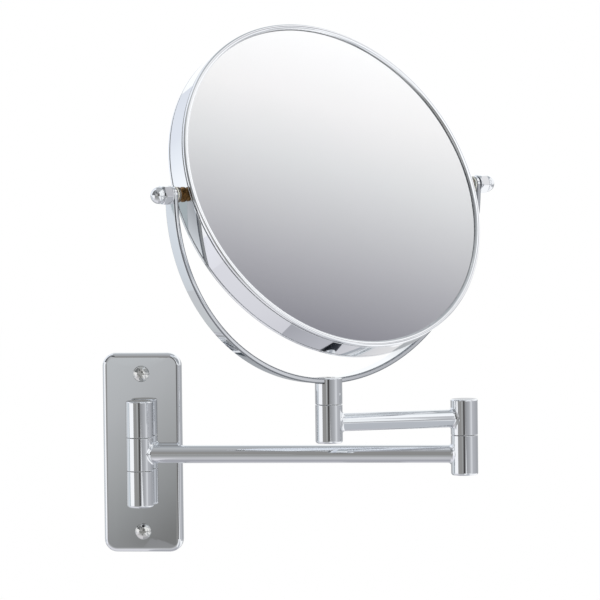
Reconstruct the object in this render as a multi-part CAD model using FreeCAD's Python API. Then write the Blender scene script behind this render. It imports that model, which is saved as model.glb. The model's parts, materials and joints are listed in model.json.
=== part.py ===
import FreeCAD, Part
import math
import os

from FreeCAD import Placement, Rotation, Vector

# Wall-mounted shaving mirror on a folding double arm, in millimetres.
# The wall is the plane y = 0 and the room is on the -y side. The origin is
# the middle of the wall plate, on the wall. The long arm leaves to the +x side.

# Wall plate: a pressed shell, open towards the wall
plate_width = 46.0
plate_height = 116.0
plate_depth = 6.0
plate_sheet = 1.2
plate_corner_radius = 7.5
plate_edge_radius = 2.6

# Wall screws
wall_screw_edge_distance = 12.0
wall_screw_radius = 2.1
wall_screw_length = 36.0
wall_screw_point = 5.0
wall_screw_neck_radius = 1.7
wall_screw_neck_margin = 0.3
wall_screw_head_radius = 4.7
wall_screw_head_height = 3.0
wall_screw_rim_height = 0.9
wall_screw_hole_radius = 2.5
cross_recess_length = 5.2
cross_recess_width = 1.2
cross_recess_depth = 1.8

# Hinge knuckles: turned barrels on three upright axes
knuckle_radius = 7.8
knuckle_low_rounding = 2.0
knuckle_top_bevel = 1.0
barrel_gap = 1.6
wall_barrel_half_height = 31.0
wall_middle_half_height = 9.55
elbow_bottom = -12.2
elbow_seam = 11.05
elbow_top = 31.8
wrist_bottom = 8.9
wrist_seam = 31.2
seam_gap = 0.3

# Hinge bolts, bushes and washers
bolt_radius = 2.5
bolt_running_clearance = 0.05
bolt_head_radius = 4.25
bolt_head_height = 5.0
bolt_head_clearance = 0.5
bolt_head_sink = 1.0
bolt_socket_flats = 4.0
bolt_socket_depth = 2.6
bush_wall = 1.0
spring_washer_inset = 0.15
spring_washer_sheet = 0.7
spring_washer_height = 1.0
friction_washer_rim = 2.0
friction_washer_thickness = 1.0
wrist_bolt_grip = 5.6
bolt_tip_room = 0.5
knuckle_crown = 5.0

# Bosses and screws that hold the two wall knuckles to the plate
boss_radius = 4.6
knuckle_screw_radius = 2.0
knuckle_screw_web = 1.0
knuckle_screw_head_radius = 3.6
knuckle_screw_head_height = 2.3
knuckle_screw_slot_width = 1.2
knuckle_screw_slot_depth = 1.1
knuckle_washer_radius = 4.4
knuckle_washer_thickness = 0.8
screw_hole_clearance = 0.2

# Arms
arm_tube_radius = 5.2
arm_tube_wall = 1.0
long_arm_length = 189.0
short_arm_length = 81.0
short_arm_rise = 20.7
arm_root_length = 1.8
arm_root_inset = 1.0
spigot_length = 8.0
spigot_clearance = 0.05

# Rest pose, in degrees
short_arm_fold_angle = 23.0
yoke_turn_angle = 43.5
head_tilt_angle = 25.0

# Yoke: a flat strap bent to a half circle
yoke_strap_thickness = 3.1
yoke_strap_width = 9.1
yoke_strap_edge_bevel = 0.6
yoke_straight = 1.5
yoke_slot_clearance = 0.1
yoke_screw_radius = 2.0
yoke_screw_head_radius = 3.8
yoke_screw_length = 7.0
yoke_screw_socket_flats = 2.5
yoke_screw_socket_depth = 1.3
yoke_holder_web = 1.45

# Mirror head: a chromed band, two snap-on bezels and two glasses back to back
head_radius = 100.0
band_wall = 1.2
band_set_back = 1.15
bezel_gap = 0.6
bezel_width = 3.25
bezel_bead_radius = 1.3
bezel_bead_height = 1.6
bezel_lip_height = 0.7
bezel_skirt_wall = 0.7
bezel_skirt_length = 1.4
part_clearance = 0.05
flat_glass_thickness = 3.0
magnifier_thickness = 2.5
magnifier_curve_radius = 800.0
spacer_ring_width = 5.0
foam_pad_gap = 0.3
foam_pad_margin = 14.0

# Pivots between the head and the yoke
stud_radius = 2.5
stud_running_clearance = 0.08
stud_nut_reach = 5.7
anchor_wall = 1.5
anchor_collar_wall = 0.5
anchor_room = 0.15
anchor_length = 8.0
pivot_bush_wall = 1.8
pivot_bush_length = 3.6
pivot_bush_groove = 0.5
pivot_spring_wall = 1.7
pivot_spring_length = 1.6
pivot_washer_wall = 2.1
pivot_washer_thickness = 0.75
spot_face_depth = 0.05
spot_face_margin = 0.7
cap_washer_radius = 5.2
cap_washer_thickness = 0.8
cap_nut_flats = 10.0
cap_nut_hex_height = 5.0
cap_nut_bevel = 0.9
cap_nut_neck_inset = 0.5
cap_nut_neck_height = 0.8
cap_nut_dome_inset = 0.2
cap_nut_dome_straight = 0.6

# Places worked out from the sizes above
x_axis = Vector(1, 0, 0)
y_axis = Vector(0, 1, 0)
z_axis = Vector(0, 0, 1)
wall_screw_spacing = plate_height - 2 * wall_screw_edge_distance
barrel_stand_off = knuckle_radius + barrel_gap
barrel_y = -(plate_depth + barrel_stand_off)
wall_knuckle_mid = (wall_barrel_half_height + wall_middle_half_height + seam_gap) / 2

bush_radius = bolt_radius + bush_wall
bore_radius = bolt_radius + bolt_running_clearance
counterbore_radius = bolt_head_radius + bolt_head_clearance
counterbore_depth = bolt_head_sink + bolt_head_height + spring_washer_height
spring_washer_radius = bolt_head_radius - spring_washer_inset
friction_washer_radius = knuckle_radius - friction_washer_rim
friction_washer_sink = friction_washer_thickness - seam_gap
blind_bore_crown = knuckle_crown + bolt_tip_room
knuckle_screw_reach = barrel_stand_off - bore_radius - knuckle_screw_web - bolt_tip_room

tube_bore_radius = arm_tube_radius - arm_tube_wall
arm_root_end = knuckle_radius + arm_root_length

strap_inner = (
    head_radius + pivot_bush_length + pivot_spring_length + pivot_washer_thickness - spot_face_depth
)
yoke_radius = strap_inner + yoke_strap_thickness
stud_end = yoke_radius + cap_washer_thickness + stud_nut_reach
stud_fit_radius = stud_radius + part_clearance
yoke_screw_bite = yoke_screw_length - yoke_strap_thickness + bolt_tip_room
yoke_seat = (
    wrist_seam + seam_gap / 2 + wrist_bolt_grip + bolt_tip_room + yoke_holder_web + yoke_screw_bite
)
pivot_height = yoke_seat + yoke_radius + yoke_straight

band_inner = head_radius - band_wall
bezel_inner = head_radius - bezel_width
skirt_outer = band_inner - part_clearance
skirt_inner = skirt_outer - bezel_skirt_wall
glass_radius = skirt_inner - part_clearance


def dish_depth(radius):
    # How far the magnifier's face lies below its edge plane, measured from its middle.
    return magnifier_curve_radius - math.sqrt(magnifier_curve_radius ** 2 - radius ** 2)


# The head is as deep as the anchor blocks need between the two glasses.
anchor_radius = stud_radius + anchor_wall
anchor_inner_end = glass_radius - anchor_length
glass_seat = (
    anchor_radius + anchor_room + magnifier_thickness
    + dish_depth(glass_radius) - dish_depth(anchor_inner_end)
)
flat_glass_back = glass_seat - flat_glass_thickness
magnifier_centre = glass_seat - dish_depth(glass_radius) + magnifier_curve_radius
magnifier_back_radius = magnifier_curve_radius + magnifier_thickness
band_half_depth = glass_seat - band_set_back

wall_hinge_place = Placement(Vector(0, barrel_y, 0), Rotation())
elbow_place = wall_hinge_place.multiply(
    Placement(Vector(long_arm_length, 0, 0), Rotation(z_axis, 180 + short_arm_fold_angle))
)
wrist_place = elbow_place.multiply(Placement(Vector(short_arm_length, 0, 0), Rotation()))
pivot_place = Placement(
    wrist_place.Base + Vector(0, 0, pivot_height), Rotation(z_axis, yoke_turn_angle)
)
head_place = pivot_place.multiply(Placement(Vector(), Rotation(x_axis, -head_tilt_angle)))


def upright_rod(radius, bottom, top):
    return Part.makeCylinder(radius, top - bottom, Vector(0, 0, bottom), z_axis)


def upright_tube(outer, inner, bottom, top):
    return upright_rod(outer, bottom, top).cut(upright_rod(inner, bottom, top))


def level_rod(radius, start, end):
    return Part.makeCylinder(radius, end - start, Vector(start, 0, 0), x_axis)


def level_tube(outer, inner, start, end):
    return level_rod(outer, start, end).cut(level_rod(inner, start, end))


def turned(corners, axis):
    # A closed outline of (x, y, z) corners turned once round an axis through the origin.
    points = [Vector(*corner) for corner in corners]
    face = Part.Face(Part.makePolygon(points + points[:1]))
    return face.revolve(Vector(), axis, 360)


def hex_prism(flats, height):
    corner_radius = flats / math.sqrt(3)
    corners = []
    for step in range(6):
        angle = math.radians(60 * step)
        corners.append(Vector(0, corner_radius * math.cos(angle), corner_radius * math.sin(angle)))
    return Part.Face(Part.makePolygon(corners + corners[:1])).extrude(Vector(height, 0, 0))


def placed(shape, place):
    moved = shape.copy()
    moved.Placement = place.multiply(shape.Placement)
    return moved


def both_sides(shape):
    # The same piece at the left and right ends of the pivot axis.
    turned_round = placed(shape, Placement(Vector(), Rotation(z_axis, 180)))
    return Part.makeCompound([shape, turned_round])


def rounded_slab(width, height, depth, corner, edge):
    # A slab standing on the wall plane with round corners and a rolled front edge.
    slab = Part.makeBox(width, depth, height, Vector(-width / 2, -depth, -height / 2))
    upright = [e for e in slab.Edges if abs(e.tangentAt(e.FirstParameter).y) > 0.9]
    slab = slab.makeFillet(corner, upright)
    front = [e for e in slab.Edges if e.BoundBox.YMax < -depth + edge / 2]
    return slab.makeFillet(edge, front)


def wall_plate():
    shell = rounded_slab(plate_width, plate_height, plate_depth, plate_corner_radius, plate_edge_radius)
    hollow = rounded_slab(
        plate_width - 2 * plate_sheet,
        plate_height - 2 * plate_sheet,
        plate_depth - plate_sheet,
        plate_corner_radius - plate_sheet,
        plate_edge_radius - plate_sheet,
    )
    shell = shell.cut(hollow)
    for side in (-1, 1):
        wall_hole_at = Vector(0, -plate_depth, side * wall_screw_spacing / 2)
        shell = shell.cut(Part.makeCylinder(wall_screw_hole_radius, plate_depth, wall_hole_at, y_axis))
        knuckle_hole_at = Vector(0, -plate_depth, side * wall_knuckle_mid)
        hole_radius = knuckle_screw_radius + screw_hole_clearance
        shell = shell.cut(Part.makeCylinder(hole_radius, plate_depth, knuckle_hole_at, y_axis))
    return shell


def wall_screw():
    # A raised head whose crown is part of a ball, with a cross recess, and a thin neck
    # where the screw passes through the sheet of the plate.
    crown_height = wall_screw_head_height - wall_screw_rim_height
    ball_radius = (wall_screw_head_radius ** 2 + crown_height ** 2) / (2 * crown_height)
    ball = Part.makeSphere(ball_radius, Vector(0, ball_radius - wall_screw_head_height, 0))
    shank_end = wall_screw_length - wall_screw_point
    blank = turned([
        (0, -wall_screw_head_height, 0),
        (wall_screw_head_radius, -wall_screw_head_height, 0),
        (wall_screw_head_radius, 0, 0),
        (0, 0, 0),
    ], y_axis)
    neck_end = plate_sheet + wall_screw_neck_margin
    shank = turned([
        (0, 0, 0),
        (wall_screw_neck_radius, 0, 0),
        (wall_screw_neck_radius, neck_end, 0),
        (wall_screw_radius, neck_end, 0),
        (wall_screw_radius, shank_end, 0),
        (0, wall_screw_length, 0),
    ], y_axis)
    screw = blank.common(ball).fuse(shank)
    for size in (Vector(cross_recess_length, 0, cross_recess_width),
                 Vector(cross_recess_width, 0, cross_recess_length)):
        corner = Vector(-size.x / 2, -wall_screw_head_height, -size.z / 2)
        screw = screw.cut(Part.makeBox(size.x, cross_recess_depth, size.z, corner))
    return screw


def wall_screws():
    solids = []
    for side in (-1, 1):
        place = Placement(Vector(0, -plate_depth, side * wall_screw_spacing / 2), Rotation())
        solids.append(placed(wall_screw(), place))
    return Part.makeCompound(solids)


def plain_knuckle(bottom, top):
    return upright_rod(knuckle_radius, bottom, top)


def round_edges_at(barrel, height):
    return [edge for edge in barrel.Edges
            if math.isclose(edge.BoundBox.ZMin, height) and math.isclose(edge.BoundBox.ZMax, height)]


def footed_knuckle(bottom, top):
    # The foot is rounded off, the seam above is left square.
    barrel = plain_knuckle(bottom, top)
    return barrel.makeFillet(knuckle_low_rounding, round_edges_at(barrel, bottom))


def capped_knuckle(bottom, top):
    # The seam below is left square, the top edge is bevelled.
    barrel = plain_knuckle(bottom, top)
    return barrel.makeChamfer(knuckle_top_bevel, round_edges_at(barrel, top))


def with_arm_root(barrel, height):
    # A stub that tapers from the barrel to the tube's size, and a spigot that enters the tube.
    widest = knuckle_radius - arm_root_inset
    stub = Part.makeCone(widest, arm_tube_radius, arm_root_end, Vector(0, 0, height), x_axis)
    spigot = level_rod(tube_bore_radius - spigot_clearance, 0, arm_root_end + spigot_length)
    spigot.translate(Vector(0, 0, height))
    return barrel.fuse([stub, spigot])


def with_bolt_bore(barrel, bottom, seat, top):
    # Open below for the bolt head, then bored for the bush.
    barrel = barrel.cut(upright_rod(counterbore_radius, bottom, seat))
    return barrel.cut(upright_rod(bush_radius, seat, top))


def with_blind_bore(barrel, bottom, end):
    return barrel.cut(upright_rod(bolt_radius, bottom, end))


def with_washer_recess(barrel, seam, towards):
    # A shallow round recess in the face of the barrel at a seam.
    low, high = sorted([seam, seam + towards * friction_washer_sink])
    return barrel.cut(upright_rod(friction_washer_radius + part_clearance, low, high))


def with_wall_boss(barrel, height):
    # A round boss that seats on the plate, tapped for the screw from behind.
    boss = Part.makeCylinder(boss_radius, barrel_stand_off, Vector(0, 0, height), y_axis)
    depth = knuckle_screw_reach + bolt_tip_room
    tap_at = Vector(0, barrel_stand_off - depth, height)
    return barrel.fuse(boss).cut(Part.makeCylinder(knuckle_screw_radius, depth, tap_at, y_axis))


def upper_wall_knuckle():
    seam = wall_middle_half_height + seam_gap
    barrel = capped_knuckle(seam, wall_barrel_half_height)
    barrel = with_wall_boss(barrel, wall_knuckle_mid)
    barrel = with_washer_recess(barrel, seam, 1)
    barrel = with_blind_bore(barrel, seam, wall_barrel_half_height - knuckle_crown)
    return placed(barrel, wall_hinge_place)


def lower_wall_knuckle():
    seam = -(wall_middle_half_height + seam_gap)
    bottom = -wall_barrel_half_height
    barrel = footed_knuckle(bottom, seam)
    barrel = with_wall_boss(barrel, -wall_knuckle_mid)
    barrel = with_washer_recess(barrel, seam, -1)
    barrel = barrel.cut(upright_rod(counterbore_radius, bottom, bottom + counterbore_depth))
    barrel = barrel.cut(upright_rod(bore_radius, bottom, seam))
    return placed(barrel, wall_hinge_place)


def knuckle_screws():
    # Screws from inside the hollow of the plate into the two bosses.
    solids = []
    seat = -plate_depth + plate_sheet + knuckle_washer_thickness
    for side in (-1, 1):
        base = Vector(0, seat, side * wall_knuckle_mid)
        head = Part.makeCylinder(knuckle_screw_head_radius, knuckle_screw_head_height, base, y_axis)
        reach = seat + plate_depth + knuckle_screw_reach
        shank = Part.makeCylinder(knuckle_screw_radius, reach, base, y_axis.negative())
        slot_at = Vector(
            -knuckle_screw_head_radius,
            knuckle_screw_head_height - knuckle_screw_slot_depth,
            -knuckle_screw_slot_width / 2,
        )
        slot = Part.makeBox(
            2 * knuckle_screw_head_radius, knuckle_screw_slot_depth, knuckle_screw_slot_width,
            base + slot_at,
        )
        solids.append(head.fuse(shank).cut(slot))
    return Part.makeCompound(solids)


def knuckle_screw_washers():
    solids = []
    for side in (-1, 1):
        base = Vector(0, -plate_depth + plate_sheet, side * wall_knuckle_mid)
        disc = Part.makeCylinder(knuckle_washer_radius, knuckle_washer_thickness, base, y_axis)
        hole_radius = knuckle_screw_radius + screw_hole_clearance
        solids.append(disc.cut(Part.makeCylinder(hole_radius, knuckle_washer_thickness, base, y_axis)))
    return Part.makeCompound(solids)


def hinge_bolt(seat, tip):
    # Socket-head bolt pushed up from below; its spring washer lies against the seat.
    head_top = seat - spring_washer_height
    head_bottom = head_top - bolt_head_height
    head = upright_rod(bolt_head_radius, head_bottom, head_top)
    shank = upright_rod(bolt_radius, head_top, tip)
    socket = hex_prism(bolt_socket_flats, bolt_socket_depth)
    socket.rotate(Vector(), y_axis, -90)
    socket.translate(Vector(0, 0, head_bottom))
    return head.fuse(shank).cut(socket)


def spring_washer(seat):
    # A conical spring washer, its narrow end against the seat.
    inner = bolt_radius + part_clearance
    low = seat - spring_washer_height
    rise = spring_washer_height - spring_washer_sheet
    return turned([
        (inner, 0, low + rise),
        (spring_washer_radius, 0, low),
        (spring_washer_radius, 0, low + spring_washer_sheet),
        (inner, 0, low + rise + spring_washer_sheet),
    ], z_axis)


def friction_washer(bottom):
    return upright_tube(
        friction_washer_radius, bore_radius, bottom, bottom + friction_washer_thickness
    )


def wall_hinge_seat():
    return -wall_barrel_half_height + counterbore_depth


def wall_hinge_bolt():
    tip = wall_barrel_half_height - blind_bore_crown
    return placed(hinge_bolt(wall_hinge_seat(), tip), wall_hinge_place)


def wall_hinge_spring_washer():
    return placed(spring_washer(wall_hinge_seat()), wall_hinge_place)


def wall_hinge_washers():
    above = friction_washer(wall_middle_half_height)
    below = friction_washer(-wall_middle_half_height - friction_washer_thickness)
    return placed(Part.makeCompound([above, below]), wall_hinge_place)


def long_arm_wall_knuckle():
    barrel = with_arm_root(plain_knuckle(-wall_middle_half_height, wall_middle_half_height), 0)
    barrel = barrel.cut(upright_rod(bush_radius, -wall_middle_half_height, wall_middle_half_height))
    return placed(barrel, wall_hinge_place)


def wall_hinge_bush():
    sleeve = upright_tube(bush_radius, bore_radius, -wall_middle_half_height, wall_middle_half_height)
    return placed(sleeve, wall_hinge_place)


def arm_tube(length, height):
    tube = level_tube(arm_tube_radius, tube_bore_radius, arm_root_end, length - arm_root_end)
    tube.translate(Vector(0, 0, height))
    return tube


def long_arm_tube():
    return placed(arm_tube(long_arm_length, 0), wall_hinge_place)


def long_arm_elbow_knuckle():
    top = elbow_seam - seam_gap / 2
    barrel = with_arm_root(footed_knuckle(elbow_bottom, top), 0)
    barrel = with_bolt_bore(barrel, elbow_bottom, elbow_bottom + counterbore_depth, top)
    barrel = with_washer_recess(barrel, top, -1)
    turned_back = Placement(Vector(long_arm_length, 0, 0), Rotation(z_axis, 180))
    return placed(placed(barrel, turned_back), wall_hinge_place)


def lower_bush(bottom, seam):
    seat = bottom + counterbore_depth
    top = seam - seam_gap / 2 - friction_washer_sink
    return upright_tube(bush_radius, bore_radius, seat, top)


def elbow_bush():
    return placed(lower_bush(elbow_bottom, elbow_seam), elbow_place)


def elbow_washer():
    bottom = elbow_seam - seam_gap / 2 - friction_washer_sink
    return placed(friction_washer(bottom), elbow_place)


def short_arm_elbow_knuckle():
    seam = elbow_seam + seam_gap / 2
    barrel = with_arm_root(capped_knuckle(seam, elbow_top), short_arm_rise)
    barrel = with_blind_bore(barrel, seam, elbow_top - knuckle_crown)
    return placed(barrel, elbow_place)


def elbow_bolt():
    tip = elbow_top - blind_bore_crown
    return placed(hinge_bolt(elbow_bottom + counterbore_depth, tip), elbow_place)


def elbow_spring_washer():
    return placed(spring_washer(elbow_bottom + counterbore_depth), elbow_place)


def short_arm_tube():
    return placed(arm_tube(short_arm_length, short_arm_rise), elbow_place)


def short_arm_wrist_knuckle():
    top = wrist_seam - seam_gap / 2
    barrel = with_arm_root(footed_knuckle(wrist_bottom, top), short_arm_rise)
    barrel = with_bolt_bore(barrel, wrist_bottom, wrist_bottom + counterbore_depth, top)
    barrel = with_washer_recess(barrel, top, -1)
    turned_back = Placement(Vector(short_arm_length, 0, 0), Rotation(z_axis, 180))
    return placed(placed(barrel, turned_back), elbow_place)


def wrist_bush():
    return placed(lower_bush(wrist_bottom, wrist_seam), wrist_place)


def wrist_washer():
    bottom = wrist_seam - seam_gap / 2 - friction_washer_sink
    return placed(friction_washer(bottom), wrist_place)


def wrist_bolt():
    tip = wrist_seam + seam_gap / 2 + wrist_bolt_grip
    return placed(hinge_bolt(wrist_bottom + counterbore_depth, tip), wrist_place)


def wrist_spring_washer():
    return placed(spring_washer(wrist_bottom + counterbore_depth), wrist_place)


def yoke_holder():
    # The top barrel of the wrist, slotted across for the strap of the yoke.
    seam = wrist_seam + seam_gap / 2
    top = yoke_seat + yoke_strap_thickness
    barrel = plain_knuckle(seam, top)
    slot_width = yoke_strap_width + 2 * yoke_slot_clearance
    slot = Part.makeBox(
        2 * knuckle_radius, slot_width, yoke_strap_thickness,
        Vector(-knuckle_radius, -slot_width / 2, yoke_seat),
    )
    barrel = barrel.cut(slot)
    barrel = with_blind_bore(barrel, seam, seam + wrist_bolt_grip + bolt_tip_room)
    barrel = barrel.cut(upright_rod(yoke_screw_radius, yoke_seat - yoke_screw_bite, top))
    place = Placement(wrist_place.Base, Rotation(z_axis, yoke_turn_angle))
    return placed(barrel, place)


def yoke_screw_solid(shank_radius):
    # Countersunk, flush with the inside of the strap.
    top = yoke_seat + yoke_strap_thickness
    cone_depth = yoke_screw_head_radius - yoke_screw_radius
    return turned([
        (0, 0, top - yoke_screw_length),
        (shank_radius, 0, top - yoke_screw_length),
        (shank_radius, 0, top - cone_depth),
        (yoke_screw_head_radius, 0, top),
        (0, 0, top),
    ], z_axis)


def yoke_screw():
    socket = hex_prism(yoke_screw_socket_flats, yoke_screw_socket_depth)
    socket.rotate(Vector(), y_axis, 90)
    socket.translate(Vector(0, 0, yoke_seat + yoke_strap_thickness))
    place = Placement(wrist_place.Base, Rotation(z_axis, yoke_turn_angle))
    return placed(yoke_screw_solid(yoke_screw_radius).cut(socket), place)


def on_strap_rim(edge):
    # Edges that run along the strap or round its ends, not the short ones across it.
    middle = edge.valueAt((edge.FirstParameter + edge.LastParameter) / 2)
    runs_along = math.isclose(abs(middle.y), yoke_strap_width / 2)
    return runs_along or middle.z > yoke_strap_width / 4


def yoke_strap():
    # Drawn in the pivot frame: x along the pivot axis, z up, the bend below.
    half_width = yoke_strap_width / 2
    end_top = half_width
    arc_middle = -yoke_straight

    def side_view(radius):
        left_top = Vector(-radius, 0, end_top)
        left = Vector(-radius, 0, arc_middle)
        bottom = Vector(0, 0, arc_middle - radius)
        right = Vector(radius, 0, arc_middle)
        right_top = Vector(radius, 0, end_top)
        return [
            Part.makeLine(left_top, left),
            Part.Arc(left, bottom, right).toShape(),
            Part.makeLine(right, right_top),
            Part.makeLine(right_top, left_top),
        ]

    outer = Part.Face(Part.Wire(side_view(yoke_radius)))
    inner = Part.Face(Part.Wire(side_view(strap_inner)))
    strap = outer.cut(inner).extrude(Vector(0, yoke_strap_width, 0))
    strap.translate(Vector(0, -half_width, 0))
    low = -yoke_radius - yoke_straight
    blank = Part.makeBox(2 * yoke_radius, yoke_strap_width, -low, Vector(-yoke_radius, -half_width, low))
    round_end = level_rod(half_width, -yoke_radius, yoke_radius)
    strap = strap.common(blank.fuse(round_end))
    rim = [edge for edge in strap.Edges if on_strap_rim(edge)]
    strap = strap.makeChamfer(yoke_strap_edge_bevel, rim)
    hole = level_rod(stud_radius + stud_running_clearance, -yoke_radius, yoke_radius)
    strap = strap.cut(hole)
    face_radius = stud_radius + pivot_washer_wall + spot_face_margin
    spot_face = level_rod(face_radius, -strap_inner - spot_face_depth, strap_inner + spot_face_depth)
    strap = strap.cut(spot_face)
    sink = yoke_screw_solid(yoke_screw_radius + screw_hole_clearance)
    sink.translate(Vector(0, 0, -pivot_height))
    return placed(strap.cut(sink), pivot_place)


def head_ring(corners):
    # An outline of (radius, depth) corners turned round the facing axis of the head.
    return turned([(radius, depth, 0) for radius, depth in corners], y_axis)


def on_head(shape):
    return placed(shape, head_place)


def rim_band():
    band = head_ring([
        (band_inner, -band_half_depth),
        (head_radius, -band_half_depth),
        (head_radius, band_half_depth),
        (band_inner, band_half_depth),
    ])
    hole_radius = stud_radius + stud_running_clearance
    return on_head(band.cut(level_rod(hole_radius, -head_radius, head_radius)))


def bezel_solid():
    # A pressed bead, round in section, with a lip over the glass and a skirt that snaps
    # inside the band. Drawn for the side that looks along +y.
    lip_top = glass_seat + bezel_lip_height
    bead_top = glass_seat + bezel_bead_height
    bead_foot = bead_top - bezel_bead_radius
    bead_middle = head_radius - bezel_bead_radius
    lip_reach = math.sqrt(bezel_bead_radius ** 2 - (lip_top - bead_foot) ** 2)
    lip_end = Vector(bead_middle - lip_reach, lip_top, 0)
    shoulder = Vector(head_radius, bead_foot, 0)
    bead = Part.Arc(lip_end, Vector(bead_middle, bead_top, 0), shoulder).toShape()
    foot = band_half_depth + bezel_gap
    skirt_end = foot - bezel_skirt_length
    sides = Part.makePolygon([
        shoulder,
        Vector(head_radius, foot, 0),
        Vector(skirt_outer, foot, 0),
        Vector(skirt_outer, skirt_end, 0),
        Vector(skirt_inner, skirt_end, 0),
        Vector(skirt_inner, glass_seat, 0),
        Vector(bezel_inner, glass_seat, 0),
        Vector(bezel_inner, lip_top, 0),
        lip_end,
    ])
    return Part.Face(Part.Wire(sides.Edges + [bead])).revolve(Vector(), y_axis, 360)


def rear_bezel():
    return on_head(bezel_solid())


def front_bezel():
    return on_head(placed(bezel_solid(), Placement(Vector(), Rotation(z_axis, 180))))


def flat_glass():
    disc = Part.makeCylinder(glass_radius, flat_glass_thickness, Vector(0, -glass_seat, 0), y_axis)
    return on_head(disc)


def magnifying_glass():
    # Dished evenly, so both faces are parts of balls about one point in front of it.
    middle = Vector(0, magnifier_centre, 0)
    blank = Part.makeCylinder(
        glass_radius, 2 * glass_seat + magnifier_thickness, Vector(0, -glass_seat, 0), y_axis
    )
    dished = blank.common(Part.makeSphere(magnifier_back_radius, middle))
    return on_head(dished.cut(Part.makeSphere(magnifier_curve_radius, middle)))


def anchor_solid():
    # A tapped block behind the band that the stud screws into.
    collar_radius = stud_radius + anchor_collar_wall
    block = level_rod(anchor_radius, anchor_inner_end, glass_radius)
    collar = level_rod(collar_radius, glass_radius, band_inner - 2 * part_clearance)
    bore = level_rod(stud_radius, anchor_inner_end, head_radius)
    return block.fuse(collar).cut(bore)


def pivot_anchors():
    return on_head(both_sides(anchor_solid()))


def spacer_ring():
    # The plastic ring that holds the two glasses apart, open round the anchors.
    inner = glass_radius - spacer_ring_width
    ring = head_ring([
        (inner, -flat_glass_back),
        (glass_radius, -flat_glass_back),
        (glass_radius, glass_seat),
        (inner, glass_seat),
    ])
    ring = ring.cut(Part.makeSphere(magnifier_back_radius, Vector(0, magnifier_centre, 0)))
    opening = level_rod(anchor_radius + part_clearance, -head_radius, head_radius)
    return on_head(ring.cut(opening))


def foam_pad():
    # A pad between the backs of the two glasses, where the dished one comes nearest.
    back_of_dish = magnifier_centre - magnifier_back_radius
    thickness = flat_glass_back + back_of_dish - foam_pad_gap
    radius = glass_radius - foam_pad_margin
    return on_head(Part.makeCylinder(radius, thickness, Vector(0, -flat_glass_back, 0), y_axis))


def pivot_studs():
    return on_head(both_sides(level_rod(stud_radius, anchor_inner_end, stud_end)))


def pivot_bushes():
    # Brass spacers with a groove turned round the middle, seated on the band.
    start = head_radius
    end = start + pivot_bush_length
    radius = stud_radius + pivot_bush_wall
    middle = (start + end) / 2
    bush = turned([
        (start, stud_fit_radius, 0),
        (start, radius, 0),
        (middle - pivot_bush_groove, radius, 0),
        (middle, radius - pivot_bush_groove, 0),
        (middle + pivot_bush_groove, radius, 0),
        (end, radius, 0),
        (end, stud_fit_radius, 0),
    ], x_axis)
    return on_head(both_sides(bush))


def pivot_springs():
    # Conical spring washers between the bush and the plain washer.
    start = head_radius + pivot_bush_length
    sheet = pivot_spring_length / 2
    radius = stud_radius + pivot_spring_wall
    spring = turned([
        (start + sheet, stud_fit_radius, 0),
        (start, radius, 0),
        (start + sheet, radius, 0),
        (start + 2 * sheet, stud_fit_radius, 0),
    ], x_axis)
    return on_head(both_sides(spring))


def pivot_washers():
    # Plain washers that rub on the inside of the strap.
    start = head_radius + pivot_bush_length + pivot_spring_length
    end = strap_inner + spot_face_depth
    washer = level_tube(stud_radius + pivot_washer_wall, stud_fit_radius, start, end)
    return on_head(both_sides(washer))


def cap_washers():
    end = yoke_radius + cap_washer_thickness
    washer = level_tube(cap_washer_radius, stud_fit_radius, yoke_radius, end)
    return on_head(both_sides(washer))


def cap_nut_dome(start):
    # A short neck, then a dome that ends in half a ball.
    radius = cap_nut_flats / 2 - cap_nut_dome_inset
    neck_radius = radius - cap_nut_neck_inset
    neck_end = start + cap_nut_neck_height
    middle = neck_end + cap_nut_dome_straight
    tip = Vector(middle + radius, 0, 0)
    shoulder = Vector(middle, radius, 0)
    half_way = radius / math.sqrt(2)
    crown = Part.Arc(shoulder, Vector(middle + half_way, half_way, 0), tip).toShape()
    sides = Part.makePolygon([
        tip,
        Vector(start, 0, 0),
        Vector(start, neck_radius, 0),
        Vector(neck_end, neck_radius, 0),
        Vector(neck_end, radius, 0),
        shoulder,
    ])
    return Part.Face(Part.Wire(sides.Edges + [crown])).revolve(Vector(), x_axis, 360)


def cap_nuts():
    # Domed cap nuts: a bevelled hexagon, a short neck and a round dome, bored for the stud.
    start = yoke_radius + cap_washer_thickness
    hex_end = start + cap_nut_hex_height
    corner_radius = cap_nut_flats / math.sqrt(3)
    low_radius = corner_radius - cap_nut_bevel
    hexagon = hex_prism(cap_nut_flats, cap_nut_hex_height)
    hexagon.translate(Vector(start, 0, 0))
    bevels = turned([
        (start, 0, 0),
        (start, low_radius, 0),
        (start + cap_nut_bevel / 2, corner_radius, 0),
        (hex_end - cap_nut_bevel / 2, corner_radius, 0),
        (hex_end, low_radius, 0),
        (hex_end, 0, 0),
    ], x_axis)
    nut = hexagon.common(bevels).fuse(cap_nut_dome(hex_end)).removeSplitter()
    bore = level_rod(stud_radius, start, stud_end + bolt_tip_room)
    return on_head(both_sides(nut.cut(bore)))


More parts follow.
